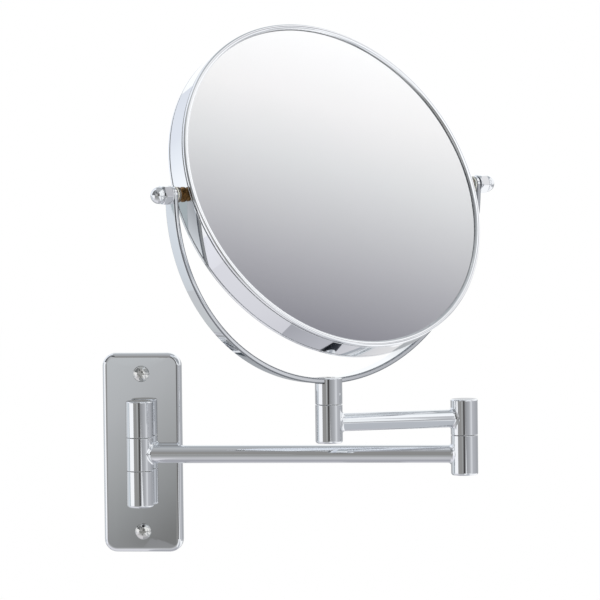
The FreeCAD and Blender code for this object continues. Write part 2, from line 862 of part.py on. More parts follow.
pieces = [
    wall_plate,
    wall_screws,
    upper_wall_knuckle,
    lower_wall_knuckle,
    knuckle_screws,
    knuckle_screw_washers,
    wall_hinge_bolt,
    wall_hinge_spring_washer,
    wall_hinge_washers,
    long_arm_wall_knuckle,
    wall_hinge_bush,
    long_arm_tube,
    long_arm_elbow_knuckle,
    elbow_bush,
    elbow_washer,
    short_arm_elbow_knuckle,
    elbow_bolt,
    elbow_spring_washer,
    short_arm_tube,
    short_arm_wrist_knuckle,
    wrist_bush,
    wrist_washer,
    wrist_bolt,
    wrist_spring_washer,
    yoke_holder,
    yoke_screw,
    yoke_strap,
    rim_band,
    front_bezel,
    rear_bezel,
    flat_glass,
    magnifying_glass,
    pivot_anchors,
    spacer_ring,
    foam_pad,
    pivot_studs,
    pivot_bushes,
    pivot_springs,
    pivot_washers,
    cap_washers,
    cap_nuts,
]

os.makedirs("parts", exist_ok=True)
for make_piece in pieces:
    shape = make_piece()
    solids = shape.Solids
    print(make_piece.__name__, len(solids), "solids", round(shape.Volume, 1), "mm3", shape.isValid())
    shape.exportStep("parts/" + make_piece.__name__ + ".step")
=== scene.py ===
import json
import math
import bmesh
import bpy
from mathutils import Matrix, Vector


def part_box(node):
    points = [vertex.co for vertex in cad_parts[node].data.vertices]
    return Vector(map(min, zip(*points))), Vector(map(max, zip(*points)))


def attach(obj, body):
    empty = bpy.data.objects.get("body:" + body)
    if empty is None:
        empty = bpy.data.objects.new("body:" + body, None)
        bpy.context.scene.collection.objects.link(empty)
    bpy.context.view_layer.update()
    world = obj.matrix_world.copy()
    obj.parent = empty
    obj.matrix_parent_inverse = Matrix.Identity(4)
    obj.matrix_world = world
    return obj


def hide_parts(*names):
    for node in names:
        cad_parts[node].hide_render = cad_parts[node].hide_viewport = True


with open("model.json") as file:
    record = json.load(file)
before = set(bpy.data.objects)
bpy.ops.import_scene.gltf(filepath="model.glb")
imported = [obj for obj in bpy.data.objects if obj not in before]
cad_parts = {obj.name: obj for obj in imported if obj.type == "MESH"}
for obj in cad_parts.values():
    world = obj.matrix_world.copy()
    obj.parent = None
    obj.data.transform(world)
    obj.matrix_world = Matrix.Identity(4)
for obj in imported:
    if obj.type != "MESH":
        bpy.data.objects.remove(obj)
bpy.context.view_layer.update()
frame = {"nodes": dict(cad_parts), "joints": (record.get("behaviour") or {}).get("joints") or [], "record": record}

mm = 0.001
up = Vector((0, 0, 1))
scene = bpy.context.scene
slotOf = {part["node"]: part["material_slot"] for part in frame["record"]["subparts"]}
jointOf = {joint["name"]: joint for joint in frame["joints"]}
print("frame loaded,", len(frame["nodes"]), "nodes")


# Places. Each piece is drawn in millimetres in a frame of its own, and a matrix in metres
# puts it where the construction says.

def placeOf(origin, zAxis, xAxis):
    z = Vector(zAxis).normalized()
    y = z.cross(Vector(xAxis)).normalized()
    place = Matrix((y.cross(z), y, z)).transposed().to_4x4()
    place.translation = origin
    return place


def jointPoint(name, height=None):
    point = Vector(jointOf[name]["pos_m"])
    if height is not None:
        point.z = height
    return point


def sizeIn(place, node, farSide=False):
    # radii about the place's z axis and reach along its axes, in millimetres
    back = place.inverted()
    points = [back @ vertex.co / mm for vertex in frame["nodes"][node].data.vertices]
    if farSide:
        points = [point for point in points if point.z > 0]
    radii = [math.hypot(point.x, point.y) for point in points]
    return {
        "inner": min(radii),
        "outer": max(radii),
        "low": min(point.z for point in points),
        "high": max(point.z for point in points),
        "wide": max(point.x for point in points),
        "deep": max(point.y for point in points),
    }


def facingOf(node):
    # the way the flat front of a disc looks, towards the room
    face = max(frame["nodes"][node].data.polygons, key=lambda polygon: polygon.area)
    normal = face.normal.normalized()
    return normal if normal.y < 0 else -normal


wallPoint = jointPoint("wall_swing", 0)
elbowPoint = jointPoint("elbow_swing", 0)
wristPoint = jointPoint("yoke_swivel", 0)
pivotPoint = jointPoint("mirror_tilt")
pivotAxis = Vector(jointOf["mirror_tilt"]["axis"])
facing = facingOf("flat_glass")

wallPlace = placeOf(wallPoint, up, elbowPoint - wallPoint)
elbowLowPlace = placeOf(elbowPoint, up, wallPoint - elbowPoint)
elbowHighPlace = placeOf(elbowPoint, up, wristPoint - elbowPoint)
wristPlace = placeOf(wristPoint, up, elbowPoint - wristPoint)
yokePlace = placeOf(wristPoint, up, pivotAxis)
strapPlace = placeOf(pivotPoint, up, pivotAxis)
headPlace = placeOf(pivotPoint, facing, pivotAxis)
rightPivotPlace = placeOf(pivotPoint, pivotAxis, facing)


# Nodes and colours

def addNode(tree, kind, inputs=None, settings=None):
    # an input is either a value or another node's output to link to it
    node = tree.nodes.new(kind)
    for name, value in (settings or {}).items():
        setattr(node, name, value)
    for name, value in (inputs or {}).items():
        if isinstance(value, bpy.types.NodeSocket):
            tree.links.new(value, node.inputs[name])
        else:
            node.inputs[name].default_value = value
    return node


def linear(hexColour):
    # an sRGB colour such as "#c8ccd0" as the linear values that shaders take
    channels = [int(hexColour[i:i + 2], 16) / 255 for i in (1, 3, 5)]
    return [c / 12.92 if c <= 0.04045 else ((c + 0.055) / 1.055) ** 2.4 for c in channels] + [1]


def perMetre(millimetres):
    # the scale of a pattern whose repeat is that long
    return 1 / (millimetres * mm)


def startMaterial(name):
    # a material with an empty tree, and the coordinates that its patterns follow
    material = bpy.data.materials.new(name)
    material.use_nodes = True
    tree = material.node_tree
    tree.nodes.clear()
    return material, tree, addNode(tree, "ShaderNodeTexCoord").outputs["Object"]


pattern = {
    "patchDetail": 3.0,
    "grainDetail": 1.0,
    "usual": (0.3, 0.7),  # most of a noise's values lie between these
}


def makeMaterial(look):
    # A surface of slightly uneven colour and polish over a faint relief. The look names its two
    # colours, the range of its roughness, and the size and height of its relief in millimetres.
    material, tree, coordinates = startMaterial(look["name"])
    tone = addNode(tree, "ShaderNodeTexNoise", {
        "Vector": coordinates, "Scale": perMetre(look["patch"]), "Detail": pattern["patchDetail"],
    }).outputs["Fac"]
    colours = addNode(tree, "ShaderNodeValToRGB", {"Fac": tone})
    for element, shade in zip(colours.color_ramp.elements, ("dark", "light")):
        element.color = linear(look[shade])
    (least, most), (smooth, rough) = pattern["usual"], look["polish"]
    polish = addNode(tree, "ShaderNodeMapRange", {
        "Value": tone, "From Min": least, "From Max": most, "To Min": smooth, "To Max": rough,
    })
    grain = addNode(tree, "ShaderNodeTexNoise", {
        "Vector": coordinates, "Scale": perMetre(look["grain"]),
        "Detail": look.get("grainDetail", pattern["grainDetail"]),
    })
    relief = addNode(tree, "ShaderNodeBump", {
        "Height": grain.outputs["Fac"], "Strength": 1.0, "Distance": look["relief"] * mm,
    })
    shader = addNode(tree, "ShaderNodeBsdfPrincipled", {
        "Base Color": colours.outputs["Color"],
        "Roughness": polish.outputs["Result"],
        "Normal": relief.outputs["Normal"],
        "Metallic": look["metallic"],
        **look.get("shader", {}),
    })
    addNode(tree, "ShaderNodeOutputMaterial", {"Surface": shader.outputs["BSDF"]})
    return material


finishes = {
    # Bright chrome over nickel on buffed brass and steel: a cool mirror with a very long, low wave.
    "chrome_plate": {
        "name": "brightChromePlate", "metallic": 1.0, "light": "#e8eaec", "dark": "#e3e5e8",
        "patch": 40, "polish": (0.02, 0.045), "grain": 14, "relief": 0.004,
    },
    # The same plate on a spun ring that was polished to a mirror before plating; its colour is lighter than the
    # other chrome, which is painted light.
    "spun_bezel_painted_light": {
        "name": "mirrorPolishedChromePaintedLighter", "metallic": 1.0, "light": "#f4f5f7", "dark": "#eff1f3",
        "patch": 40, "polish": (0.01, 0.03), "grain": 14, "relief": 0.003,
    },
    # Chrome with a dark grey colour and a rougher polish for the strap's rounded edges: the dark colour is painted
    # shade that draws dark reflection lines along them.
    "strap_edge_painted_shade": {
        "name": "edgeShadePaintedChrome", "metallic": 1.0, "light": "#8e9195", "dark": "#7e8186",
        "patch": 12, "polish": (0.06, 0.12), "grain": 2, "relief": 0.004,
    },
    # Nickel plated screw steel: warmer than chrome, and softer in its edges.
    "plated_screw": {
        "name": "nickelPlatedSteel", "metallic": 1.0, "light": "#e3e3e1", "dark": "#d3d3d0",
        "patch": 3, "polish": (0.06, 0.14), "grain": 1.2, "relief": 0.004,
    },
    # Bright zinc on turned and stamped steel: bluish grey, with the tool marks under it.
    "zinc_steel": {
        "name": "brightZincSteel", "metallic": 1.0, "light": "#c9ced4", "dark": "#a9afb6",
        "patch": 2.5, "polish": (0.2, 0.36), "grain": 0.5, "relief": 0.008,
    },
    # Black oxide on alloy steel bolts: near black, a dull sheen and an oily unevenness.
    "black_bolt": {
        "name": "blackOxideSteel", "metallic": 1.0, "light": "#3a3a3c", "dark": "#222224",
        "patch": 1.5, "polish": (0.28, 0.45), "grain": 0.4, "relief": 0.01,
    },
    # Tempered spring steel: straw and grey from the heat, half bright.
    "spring_steel": {
        "name": "temperedSpringSteel", "metallic": 1.0, "light": "#a9a39a", "dark": "#7f7a74",
        "patch": 2, "polish": (0.22, 0.34), "grain": 0.5, "relief": 0.005,
    },
    # Turned brass: warm yellow in some patches and dark brown in others.
    "bush_brass": {
        "name": "patchyTurnedBrass", "metallic": 1.0, "light": "#9c7648", "dark": "#30231a",
        "patch": 1.6, "polish": (0.08, 0.22), "grain": 0.35, "relief": 0.006,
    },
    # Natural nylon: milky, with a soft waxy sheen.
    "nylon": {
        "name": "naturalNylon", "metallic": 0.0, "light": "#e9e6dc", "dark": "#ddd9cc",
        "patch": 3, "polish": (0.38, 0.5), "grain": 0.4, "relief": 0.01,
        "shader": {"Subsurface Weight": 0.15},
    },
    # Moulded grey ABS with the fine spark texture of its mould.
    "moulded_plastic": {
        "name": "mouldedAbs", "metallic": 0.0, "light": "#8f9296", "dark": "#83868a",
        "patch": 6, "polish": (0.42, 0.55), "grain": 0.35, "relief": 0.02,
    },
    # Open-cell polyurethane foam, charcoal: its cells are drawn at their real 0.8 mm.
    "foam": {
        "name": "polyurethaneFoam", "metallic": 0.0, "light": "#4a4b4f", "dark": "#34353a",
        "patch": 0.8, "polish": (0.85, 0.95), "grain": 0.8, "relief": 0.25, "grainDetail": 3.0,
    },
    # Fired silver on glass, seen through the glass: the brightest and cleanest of the metals.
    "silvered_glass": {
        "name": "silverCoat", "metallic": 1.0, "light": "#f3f4f4", "dark": "#f1f2f3",
        "patch": 60, "polish": (0.0, 0.004), "grain": 60, "relief": 0.0005,
    },
    # The lacquer that covers the back and the rim of a mirror: dark grey and dull.
    "mirror_back": {
        "name": "mirrorBackLacquer", "metallic": 0.0, "light": "#34373a", "dark": "#26282b",
        "patch": 8, "polish": (0.5, 0.65), "grain": 0.6, "relief": 0.01,
    },
}
materials = {slot: makeMaterial(look) for slot, look in finishes.items()}


glassLook = {"patch": 25, "detail": 2.0, "dark": "#fbfcfc", "light": "#fdfdfe", "bending": 1.52}


def makeFloatGlass():
    # Clear float glass: colourless, with the faintest uneven film on it.
    look = glassLook
    material, tree, coordinates = startMaterial("clearFloatGlass")
    film = addNode(tree, "ShaderNodeTexNoise", {
        "Vector": coordinates, "Scale": perMetre(look["patch"]), "Detail": look["detail"],
    })
    tint = addNode(tree, "ShaderNodeValToRGB", {"Fac": film.outputs["Fac"]})
    for element, shade in zip(tint.color_ramp.elements, ("dark", "light")):
        element.color = linear(look[shade])
    shader = addNode(tree, "ShaderNodeBsdfPrincipled", {
        "Base Color": tint.outputs["Color"], "Roughness": 0.0, "IOR": look["bending"],
        "Transmission Weight": 1.0,
    })
    addNode(tree, "ShaderNodeOutputMaterial", {"Surface": shader.outputs["BSDF"]})
    return material


floatGlass = makeFloatGlass()
for node, piece in frame["nodes"].items():
    piece.data.materials.clear()
    piece.data.materials.append(materials[slotOf[node]])
print("materials made,", len(bpy.data.materials))


# Shapes

def shellOf(vertices, faces):
    # a closed mesh whose faces point outwards
    mesh = bpy.data.meshes.new("shell")
    mesh.from_pydata([tuple(vertex) for vertex in vertices], [], faces)
    build = bmesh.new()
    build.from_mesh(mesh)
    bmesh.ops.recalc_face_normals(build, faces=build.faces)
    build.to_mesh(mesh)
    build.free()
    return mesh


def evaluated(piece):
    graph = bpy.context.evaluated_depsgraph_get()
    return bpy.data.meshes.new_from_object(piece.evaluated_get(graph), depsgraph=graph)


def helperObject(mesh):
    helper = bpy.data.objects.new("helper", mesh)
    scene.collection.objects.link(helper)
    return helper


def combined(base, other, operation="DIFFERENCE"):
    # two closed meshes joined or cut, as one closed mesh
    holder, tool = helperObject(base), helperObject(other)
    modifier = holder.modifiers.new("combine", "BOOLEAN")
    modifier.operation = operation
    modifier.solver = "MANIFOLD"
    modifier.object = tool
    result = evaluated(holder)
    for helper in (holder, tool):
        bpy.data.objects.remove(helper)
    return result


arcShare = 0.49  # a rounding takes up no more than this share of either side


def rounded(corners, steps=4):
    # an outline of (across, along, rounding) corners, with an arc in each rounded corner
    outline = []
    for index, (across, along, rounding) in enumerate(corners):
        here = Vector((across, along))
        if not rounding:
            outline.append(here)
            continue
        before = Vector(corners[index - 1][:2]) - here
        after = Vector(corners[(index + 1) % len(corners)][:2]) - here
        half = before.angle(after) / 2
        reach = min(rounding / math.tan(half), arcShare * before.length, arcShare * after.length)
        radius = reach * math.tan(half)
        centre = here + (before.normalized() + after.normalized()).normalized() * (radius / math.sin(half))
        start = here + before.normalized() * reach - centre
        end = here + after.normalized() * reach - centre
        sweep = start.angle(end)
        for step in range(steps + 1):
            part = step / steps
            bend = start * math.sin((1 - part) * sweep) + end * math.sin(part * sweep)
            outline.append(centre + bend / math.sin(sweep))
    return outline


def joinRings(rings, closed):
    # quads between neighbouring rings of vertex numbers; a ring of one vertex gives triangles
    faces = []
    for index in range(len(rings) if closed else len(rings) - 1):
        low, high = rings[index], rings[(index + 1) % len(rings)]
        for k in range(len(low)):
            after = (k + 1) % len(low)
            face = list(dict.fromkeys([low[k], low[after], high[after], high[k]]))
            if len(face) > 2:
                faces.append(face)
    return faces


onAxis = 1e-6  # a radius below this counts as none


def lathe(outline, count=96):
    # an outline of (radius, height) turned round z; it starts and ends on the axis, or is a ring
    vertices, rings = [], []
    for point in outline:
        if point.x < onAxis:
            rings.append([len(vertices)] * count)
            vertices.append((0, 0, point.y))
            continue
        rings.append(range(len(vertices), len(vertices) + count))
        for k in range(count):
            angle = 2 * math.pi * k / count
            vertices.append((point.x * math.cos(angle), point.x * math.sin(angle), point.y))
    isRing = min(point.x for point in outline) > onAxis
    return shellOf(vertices, joinRings(rings, isRing))


def turned(corners, steps=4, count=40):
    # (radius, height, rounding) corners turned round z
    return lathe(rounded(corners, steps), count)


def discOf(radius, low, high, lowEdge=0, highEdge=0, steps=4, count=40):
    # a solid round about z, with rounded edges where asked for
    corners = [(0, low, 0), (radius, low, lowEdge), (radius, high, highEdge), (0, high, 0)]
    return turned(corners, steps, count)


def ringOf(size, outerEdge, innerEdge, steps=4, count=96):
    # a ring about z with a square section, rounded by those amounts outside and inside
    inner, outer, low, high = (size[key] for key in ("inner", "outer", "low", "high"))
    return turned([
        (outer, low, outerEdge), (outer, high, outerEdge), (inner, high, innerEdge), (inner, low, innerEdge),
    ], steps, count)


def prism(outline, low, high):
    # a flat outline of (x, y) points raised from low to high
    count = len(outline)
    vertices = [(p[0], p[1], z) for z in (low, high) for p in outline]
    sides = [[k, (k + 1) % count, count + (k + 1) % count, count + k] for k in range(count)]
    return shellOf(vertices, sides + [list(range(count)), list(range(count, 2 * count))])


def box(width, depth, low, high):
    x, y = width / 2, depth / 2
    return prism([(-x, -y), (x, -y), (x, y), (-x, y)], low, high)


def hexagon(flats, rounding=0.0):
    corner = flats / math.sqrt(3)
    points = [(corner * math.cos(math.pi * k / 3), corner * math.sin(math.pi * k / 3), rounding)
              for k in range(6)]
    return rounded(points, 3)


def turnedMesh(mesh, degrees, axis):
    mesh.transform(Matrix.Rotation(math.radians(degrees), 4, axis))
    return mesh


def movedMesh(mesh, x, y, z):
    mesh.transform(Matrix.Translation((x, y, z)))
    return mesh


def joinedShells(first, second):
    # both meshes in the first one, each still a shell of its own
    build = bmesh.new()
    build.from_mesh(first)
    build.from_mesh(second)
    build.to_mesh(first)
    build.free()
    return first


shading = {"sharpAngle": 33, "weight": 100}


def addPiece(name, mesh, place, body, slot, nodes, ownSurfaces=False):
    # puts a piece in its place, smooths it between its sharp edges, hangs it on its body and hides the nodes it
    # stands for
    mesh.transform(place @ Matrix.Diagonal((mm, mm, mm, 1)))
    if not ownSurfaces:
        mesh.materials.clear()
        mesh.materials.append(materials[slot])
    mesh.shade_smooth()
    mesh.set_sharp_from_angle(angle=math.radians(shading["sharpAngle"]))
    piece = helperObject(mesh)
    weighting = piece.modifiers.new("weighting", "WEIGHTED_NORMAL")
    weighting.keep_sharp = True
    weighting.weight = shading["weight"]
    finished = evaluated(piece)
    piece.modifiers.clear()
    piece.data = finished
    piece.name = name
    finished.name = name
    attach(piece, body)
    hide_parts(*nodes)
    return piece


# Geometry Nodes

def startTree(name, inputs):
    # a tree with a geometry in and out and the named inputs (name, socket kind, value)
    tree = bpy.data.node_groups.new(name, "GeometryNodeTree")
    tree.interface.new_socket("Geometry", in_out="INPUT", socket_type="NodeSocketGeometry")
    tree.interface.new_socket("Geometry", in_out="OUTPUT", socket_type="NodeSocketGeometry")
    for inputName, kind, value in inputs:
        tree.interface.new_socket(inputName, in_out="INPUT", socket_type=kind).default_value = value
    tree.interface.new_socket("Material", in_out="INPUT", socket_type="NodeSocketMaterial")
    return tree, addNode(tree, "NodeGroupInput").outputs


def endTree(tree, inputs, geometry):
    # what every tree ends with: real geometry, and its material
    real = addNode(tree, "GeometryNodeRealizeInstances", {"Geometry": geometry})
    dressed = addNode(tree, "GeometryNodeSetMaterial", {
        "Geometry": real.outputs["Geometry"], "Material": inputs["Material"],
    })
    addNode(tree, "NodeGroupOutput", {"Geometry": dressed.outputs["Geometry"]})
    return tree


def grown(mesh, tree, values):
    # the plain mesh that a tree makes from a mesh and its named inputs
    helper = helperObject(mesh)
    modifier = helper.modifiers.new(tree.name, "NODES")
    modifier.node_group = tree
    for item in tree.interface.items_tree:
        if item.in_out == "INPUT" and item.name in values:
            modifier[item.identifier] = values[item.name]
    result = evaluated(helper)
    bpy.data.objects.remove(helper)
    return result


def makeRoundTree():
    # copies of a piece at even turns about z
    tree, inputs = startTree("roundTree", [("Count", "NodeSocketInt", 2)])
    points = addNode(tree, "GeometryNodePoints", {"Count": inputs["Count"]})
    index = addNode(tree, "GeometryNodeInputIndex").outputs["Index"]
    share = addNode(tree, "ShaderNodeMath", {0: index, 1: inputs["Count"]}, {"operation": "DIVIDE"})
    turn = addNode(tree, "ShaderNodeMath", {0: share.outputs[0], 1: 2 * math.pi}, {"operation": "MULTIPLY"})
    rotation = addNode(tree, "ShaderNodeCombineXYZ", {"Z": turn.outputs[0]})
    copies = addNode(tree, "GeometryNodeInstanceOnPoints", {
        "Points": points.outputs[0], "Instance": inputs["Geometry"], "Rotation": rotation.outputs["Vector"],
    })
    return endTree(tree, inputs, copies.outputs["Instances"])


def makeRowTree():
    # copies of a piece along a straight row, the same distance apart
    tree, inputs = startTree("rowTree", [
        ("Count", "NodeSocketInt", 2),
        ("Start", "NodeSocketVector", (0, 0, 0)),
        ("Step", "NodeSocketVector", (0, 0, 1)),
    ])
    row = addNode(tree, "GeometryNodeMeshLine", {
        "Count": inputs["Count"], "Start Location": inputs["Start"], "Offset": inputs["Step"],
    })
    copies = addNode(tree, "GeometryNodeInstanceOnPoints", {
        "Points": row.outputs["Mesh"], "Instance": inputs["Geometry"],
    })
    return endTree(tree, inputs, copies.outputs["Instances"])


def makeThreadTree():
    # a screw thread: a three-sided ridge swept along a helix round z, joined to its shank
    tree, inputs = startTree("threadTree", [
        ("Turns", "NodeSocketFloat", 10.0),
        ("Radius", "NodeSocketFloat", 2.0),
        ("Ridge", "NodeSocketFloat", 0.3),
        ("Length", "NodeSocketFloat", 10.0),
        ("Start", "NodeSocketFloat", 0.0),
    ])
    helix = addNode(tree, "GeometryNodeCurveSpiral", {
        "Resolution": 20, "Rotations": inputs["Turns"], "Height": inputs["Length"],
        "Start Radius": inputs["Radius"], "End Radius": inputs["Radius"],
    })
    ridge = addNode(tree, "GeometryNodeCurvePrimitiveCircle", {
        "Resolution": 3, "Radius": inputs["Ridge"],
    }, {"mode": "RADIUS"})
    thread = addNode(tree, "GeometryNodeCurveToMesh", {
        "Curve": helix.outputs["Curve"], "Profile Curve": ridge.outputs["Curve"], "Fill Caps": True,
    })
    lift = addNode(tree, "ShaderNodeCombineXYZ", {"Z": inputs["Start"]})
    moved = addNode(tree, "GeometryNodeTransform", {
        "Geometry": thread.outputs["Mesh"], "Translation": lift.outputs["Vector"],
    })
    both = addNode(tree, "GeometryNodeJoinGeometry", {"Geometry": inputs["Geometry"]})
    tree.links.new(moved.outputs["Geometry"], both.inputs["Geometry"])
    return endTree(tree, inputs, both.outputs["Geometry"])


def makeBendTree():
    # A flat bar bent to a half circle with straight ends. Along the bar, x is the distance from
    # its middle; the bend's radius is that of the bar's own middle layer.
    tree, inputs = startTree("bendTree", [
        ("Bend Radius", "NodeSocketFloat", 100.0),
        ("Straight End", "NodeSocketFloat", 1.0),
    ])
    position = addNode(tree, "GeometryNodeInputPosition").outputs["Position"]
    flat = addNode(tree, "ShaderNodeSeparateXYZ", {"Vector": position}).outputs
    known = {
        "along": flat["X"], "above": flat["Z"],
        "bend": inputs["Bend Radius"], "straight": inputs["Straight End"],
    }
    quarter = math.pi / 2
    # each line is the name of a result, the operation and its two sides
    for name, operation, first, second in (
        ("wanted", "DIVIDE", "along", "bend"),
        ("atMost", "MINIMUM", "wanted", quarter),
        ("angle", "MAXIMUM", "atMost", -quarter),
        ("bent", "MULTIPLY", "angle", "bend"),
        ("rest", "SUBTRACT", "along", "bent"),
        ("beyond", "ABSOLUTE", "rest", 0),
        ("radius", "ADD", "above", "bend"),
        ("sine", "SINE", "angle", 0),
        ("cosine", "COSINE", "angle", 0),
        ("across", "MULTIPLY", "radius", "sine"),
        ("drop", "MULTIPLY", "radius", "cosine"),
        ("fall", "SUBTRACT", "beyond", "drop"),
        ("height", "SUBTRACT", "fall", "straight"),
    ):
        step = addNode(tree, "ShaderNodeMath", {
            0: known.get(first, first), 1: known.get(second, second),
        }, {"operation": operation})
        known[name] = step.outputs[0]
    target = addNode(tree, "ShaderNodeCombineXYZ", {
        "X": known["across"], "Y": flat["Y"], "Z": known["height"],
    })
    placed = addNode(tree, "GeometryNodeSetPosition", {
        "Geometry": inputs["Geometry"], "Position": target.outputs["Vector"],
    })
    return endTree(tree, inputs, placed.outputs["Geometry"])


roundTree = makeRoundTree()
rowTree = makeRowTree()
threadTree = makeThreadTree()
bendTree = makeBendTree()
print("node trees made")


# Hinge knuckles and arms

knuckleSizes = {
    "lowRounding": 2.0,
    "topRounding": 1.0,
    "seamRounding": 0.22,
    "arcSteps": 6,
    "crown": 5.5,  # metal left above the bolt
    "boltBore": 2.55,
    "bushBore": 3.55,
    "boreEdge": 0.1,
    "counterbore": 4.75,
    "counterboreDepth": 7.0,
    "counterboreEdge": 0.3,
    "counterboreCorner": 0.05,
    "bossRadius": 4.6,
}

rootSizes = {
    "flare": 1.5,
    "flareSweep": 72,  # degrees of the flare's arc; the rest lies inside the barrel
    "flareSteps": 7,
    "flareDepth": 0.8,  # how far the flare starts inside the barrel
    "depth": 1.6,  # how far the root's inner end lies inside the barrel
    "spigot": 4.15,
    "spigotLength": 8.0,
    "count": 72,
}


def armRoot(barrelRadius, radius, end, hasSpigot):
    # A round stub along x that grows out of an upright barrel with a hollow flare that follows
    # the barrel's side, and for an arm ends in a spigot that enters the arm's tube.
    sizes = rootSizes
    flare, count, steps = sizes["flare"], sizes["count"], sizes["flareSteps"]
    sweep = math.radians(sizes["flareSweep"])
    # each section is its radius, its distance out, and whether that is from the barrel's side
    sections = [(radius + flare * (1 - math.cos(sweep)), -sizes["flareDepth"], True)]
    for step in range(steps + 1):
        angle = sweep * (1 - step / steps)
        sections.append((radius + flare * (1 - math.cos(angle)), flare * (1 - math.sin(angle)), True))
    sections.append((radius, end, False))
    if hasSpigot:
        sections.append((sizes["spigot"], end, False))
        sections.append((sizes["spigot"], end + sizes["spigotLength"], False))
    vertices, rings = [(barrelRadius - sizes["depth"], 0, 0)], [[0] * count]
    for ringRadius, out, onBarrel in sections:
        rings.append(range(len(vertices), len(vertices) + count))
        for k in range(count):
            angle = 2 * math.pi * k / count
            y, z = ringRadius * math.sin(angle), ringRadius * math.cos(angle)
            side = math.sqrt(barrelRadius ** 2 - y ** 2) if onBarrel else 0
            vertices.append((side + out, y, z))
    rings.append([len(vertices)] * count)
    vertices.append((sections[-1][1], 0, 0))
    return shellOf(vertices, joinRings(rings, False))


def openBarrel(size, low, high, bore):
    # bored right through; where its lower edge is rounded it is also counterbored for a bolt head
    sizes = knuckleSizes
    outer, bottom, top, edge = size["outer"], size["low"], size["high"], sizes["boreEdge"]
    corners = [(outer, bottom, low), (outer, top, high), (bore, top, edge)]
    if low > sizes["seamRounding"]:
        wide, seat = sizes["counterbore"], bottom + sizes["counterboreDepth"]
        corners += [
            (bore, seat, sizes["counterboreCorner"]), (wide, seat, edge),
            (wide, bottom, sizes["counterboreEdge"]),
        ]
    else:
        corners.append((bore, bottom, edge))
    return turned(corners, sizes["arcSteps"], 96)


def cappedBarrel(size, top, boreEnd):
    # closed above, with a blind bore from below
    sizes = knuckleSizes
    outer, bore, edge = size["outer"], sizes["boltBore"], sizes["boreEdge"]
    return turned([
        (0, size["high"], 0), (outer, size["high"], top), (outer, size["low"], sizes["seamRounding"]),
        (bore, size["low"], edge), (bore, boreEnd, edge), (0, boreEnd, 0),
    ], sizes["arcSteps"], 96)


def middleHeight(node):
    # of the node's box, in millimetres
    low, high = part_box(node)
    return (low.z + high.z) / 2 / mm


def pairHeight(node, headRadius):
    # how far above and below the middle the two screws of a node stand
    low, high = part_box(node)
    return (high.z - low.z) / 2 / mm - headRadius


def makeKnuckles():
    sizes = knuckleSizes
    seam = sizes["seamRounding"]
    tube = sizeIn(placeOf(wallPoint, elbowPoint - wallPoint, up), "long_arm_tube")
    # a barrel's radius is half its depth, because its arm reaches further along it
    radius = sizeIn(wallPlace, "long_arm_wall_knuckle")["deep"]
    bossLength = (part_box("wall_plate")[0].y - wallPoint.y) / mm
    rootHeight = {"long_arm": 0.0, "short_arm": middleHeight("short_arm_tube")}
    for name, node, place, body, kind in (
        ("upperWallKnuckle", "upper_wall_knuckle", wallPlace, "wall_bracket", "capped"),
        ("lowerWallKnuckle", "lower_wall_knuckle", wallPlace, "wall_bracket", "low"),
        ("longArmWallKnuckle", "long_arm_wall_knuckle", wallPlace, "long_arm", "middle"),
        ("longArmElbowKnuckle", "long_arm_elbow_knuckle", elbowLowPlace, "long_arm", "low"),
        ("shortArmElbowKnuckle", "short_arm_elbow_knuckle", elbowHighPlace, "short_arm", "capped"),
        ("shortArmWristKnuckle", "short_arm_wrist_knuckle", wristPlace, "short_arm", "low"),
    ):
        isFixed = body == "wall_bracket"
        size = sizeIn(place, node)
        size["outer"] = radius
        if kind == "capped":
            barrel = cappedBarrel(size, sizes["topRounding"], size["high"] - sizes["crown"])
        else:
            low = sizes["lowRounding"] if kind == "low" else seam
            barrel = openBarrel(size, low, seam, sizes["boltBore" if isFixed else "bushBore"])
        if isFixed:
            root = turnedMesh(armRoot(radius, sizes["bossRadius"], bossLength, False), 90, "Z")
            movedMesh(root, 0, 0, (size["low"] + size["high"]) / 2)
        else:
            root = movedMesh(armRoot(radius, tube["outer"], tube["low"], True), 0, 0, rootHeight[body])
        addPiece(name, combined(barrel, root, "UNION"), place, body, "chrome_plate", [node])


def makeTubes():
    height = up * middleHeight("short_arm_tube") * mm
    for name, node, body, start, end in (
        ("longArmTube", "long_arm_tube", "long_arm", wallPoint, elbowPoint),
        ("shortArmTube", "short_arm_tube", "short_arm", elbowPoint + height, wristPoint + height),
    ):
        place = placeOf(start, end - start, up)
        addPiece(name, ringOf(sizeIn(place, node), 0, 0), place, body, "chrome_plate", [node])


makeKnuckles()
makeTubes()
print("knuckles and arms made")


# Wall plate and the screws that hold it

plateSizes = {
    "corner": 7.5,
    "cornerSteps": 8,
    "edge": 2.6,
    "edgeSteps": 8,
    "sheet": 1.2,
    "crown": 0.25,  # how far the sides of the pressed front fall back from its middle
    "screwHole": 2.5,
    "knuckleHole": 2.2,
    "holeRoom": 1.0,  # how far a drill reaches past the plate at both ends
    "cuts": 12,
}


def plateLoop(width, height, inset, depth):
    # a rectangle with round corners, drawn inset by that much, at that depth from the wall
    loop = []
    corner, steps = plateSizes["corner"], plateSizes["cornerSteps"]
    for quarter, (sx, sz) in enumerate(((1, 1), (-1, 1), (-1, -1), (1, -1))):
        for step in range(steps + 1):
            angle = math.radians(90 * (quarter + step / steps))
            x = sx * (width / 2 - corner) + (corner - inset) * math.cos(angle)
            z = sz * (height / 2 - corner) + (corner - inset) * math.sin(angle)
            loop.append((x, -depth, z))
    return loop


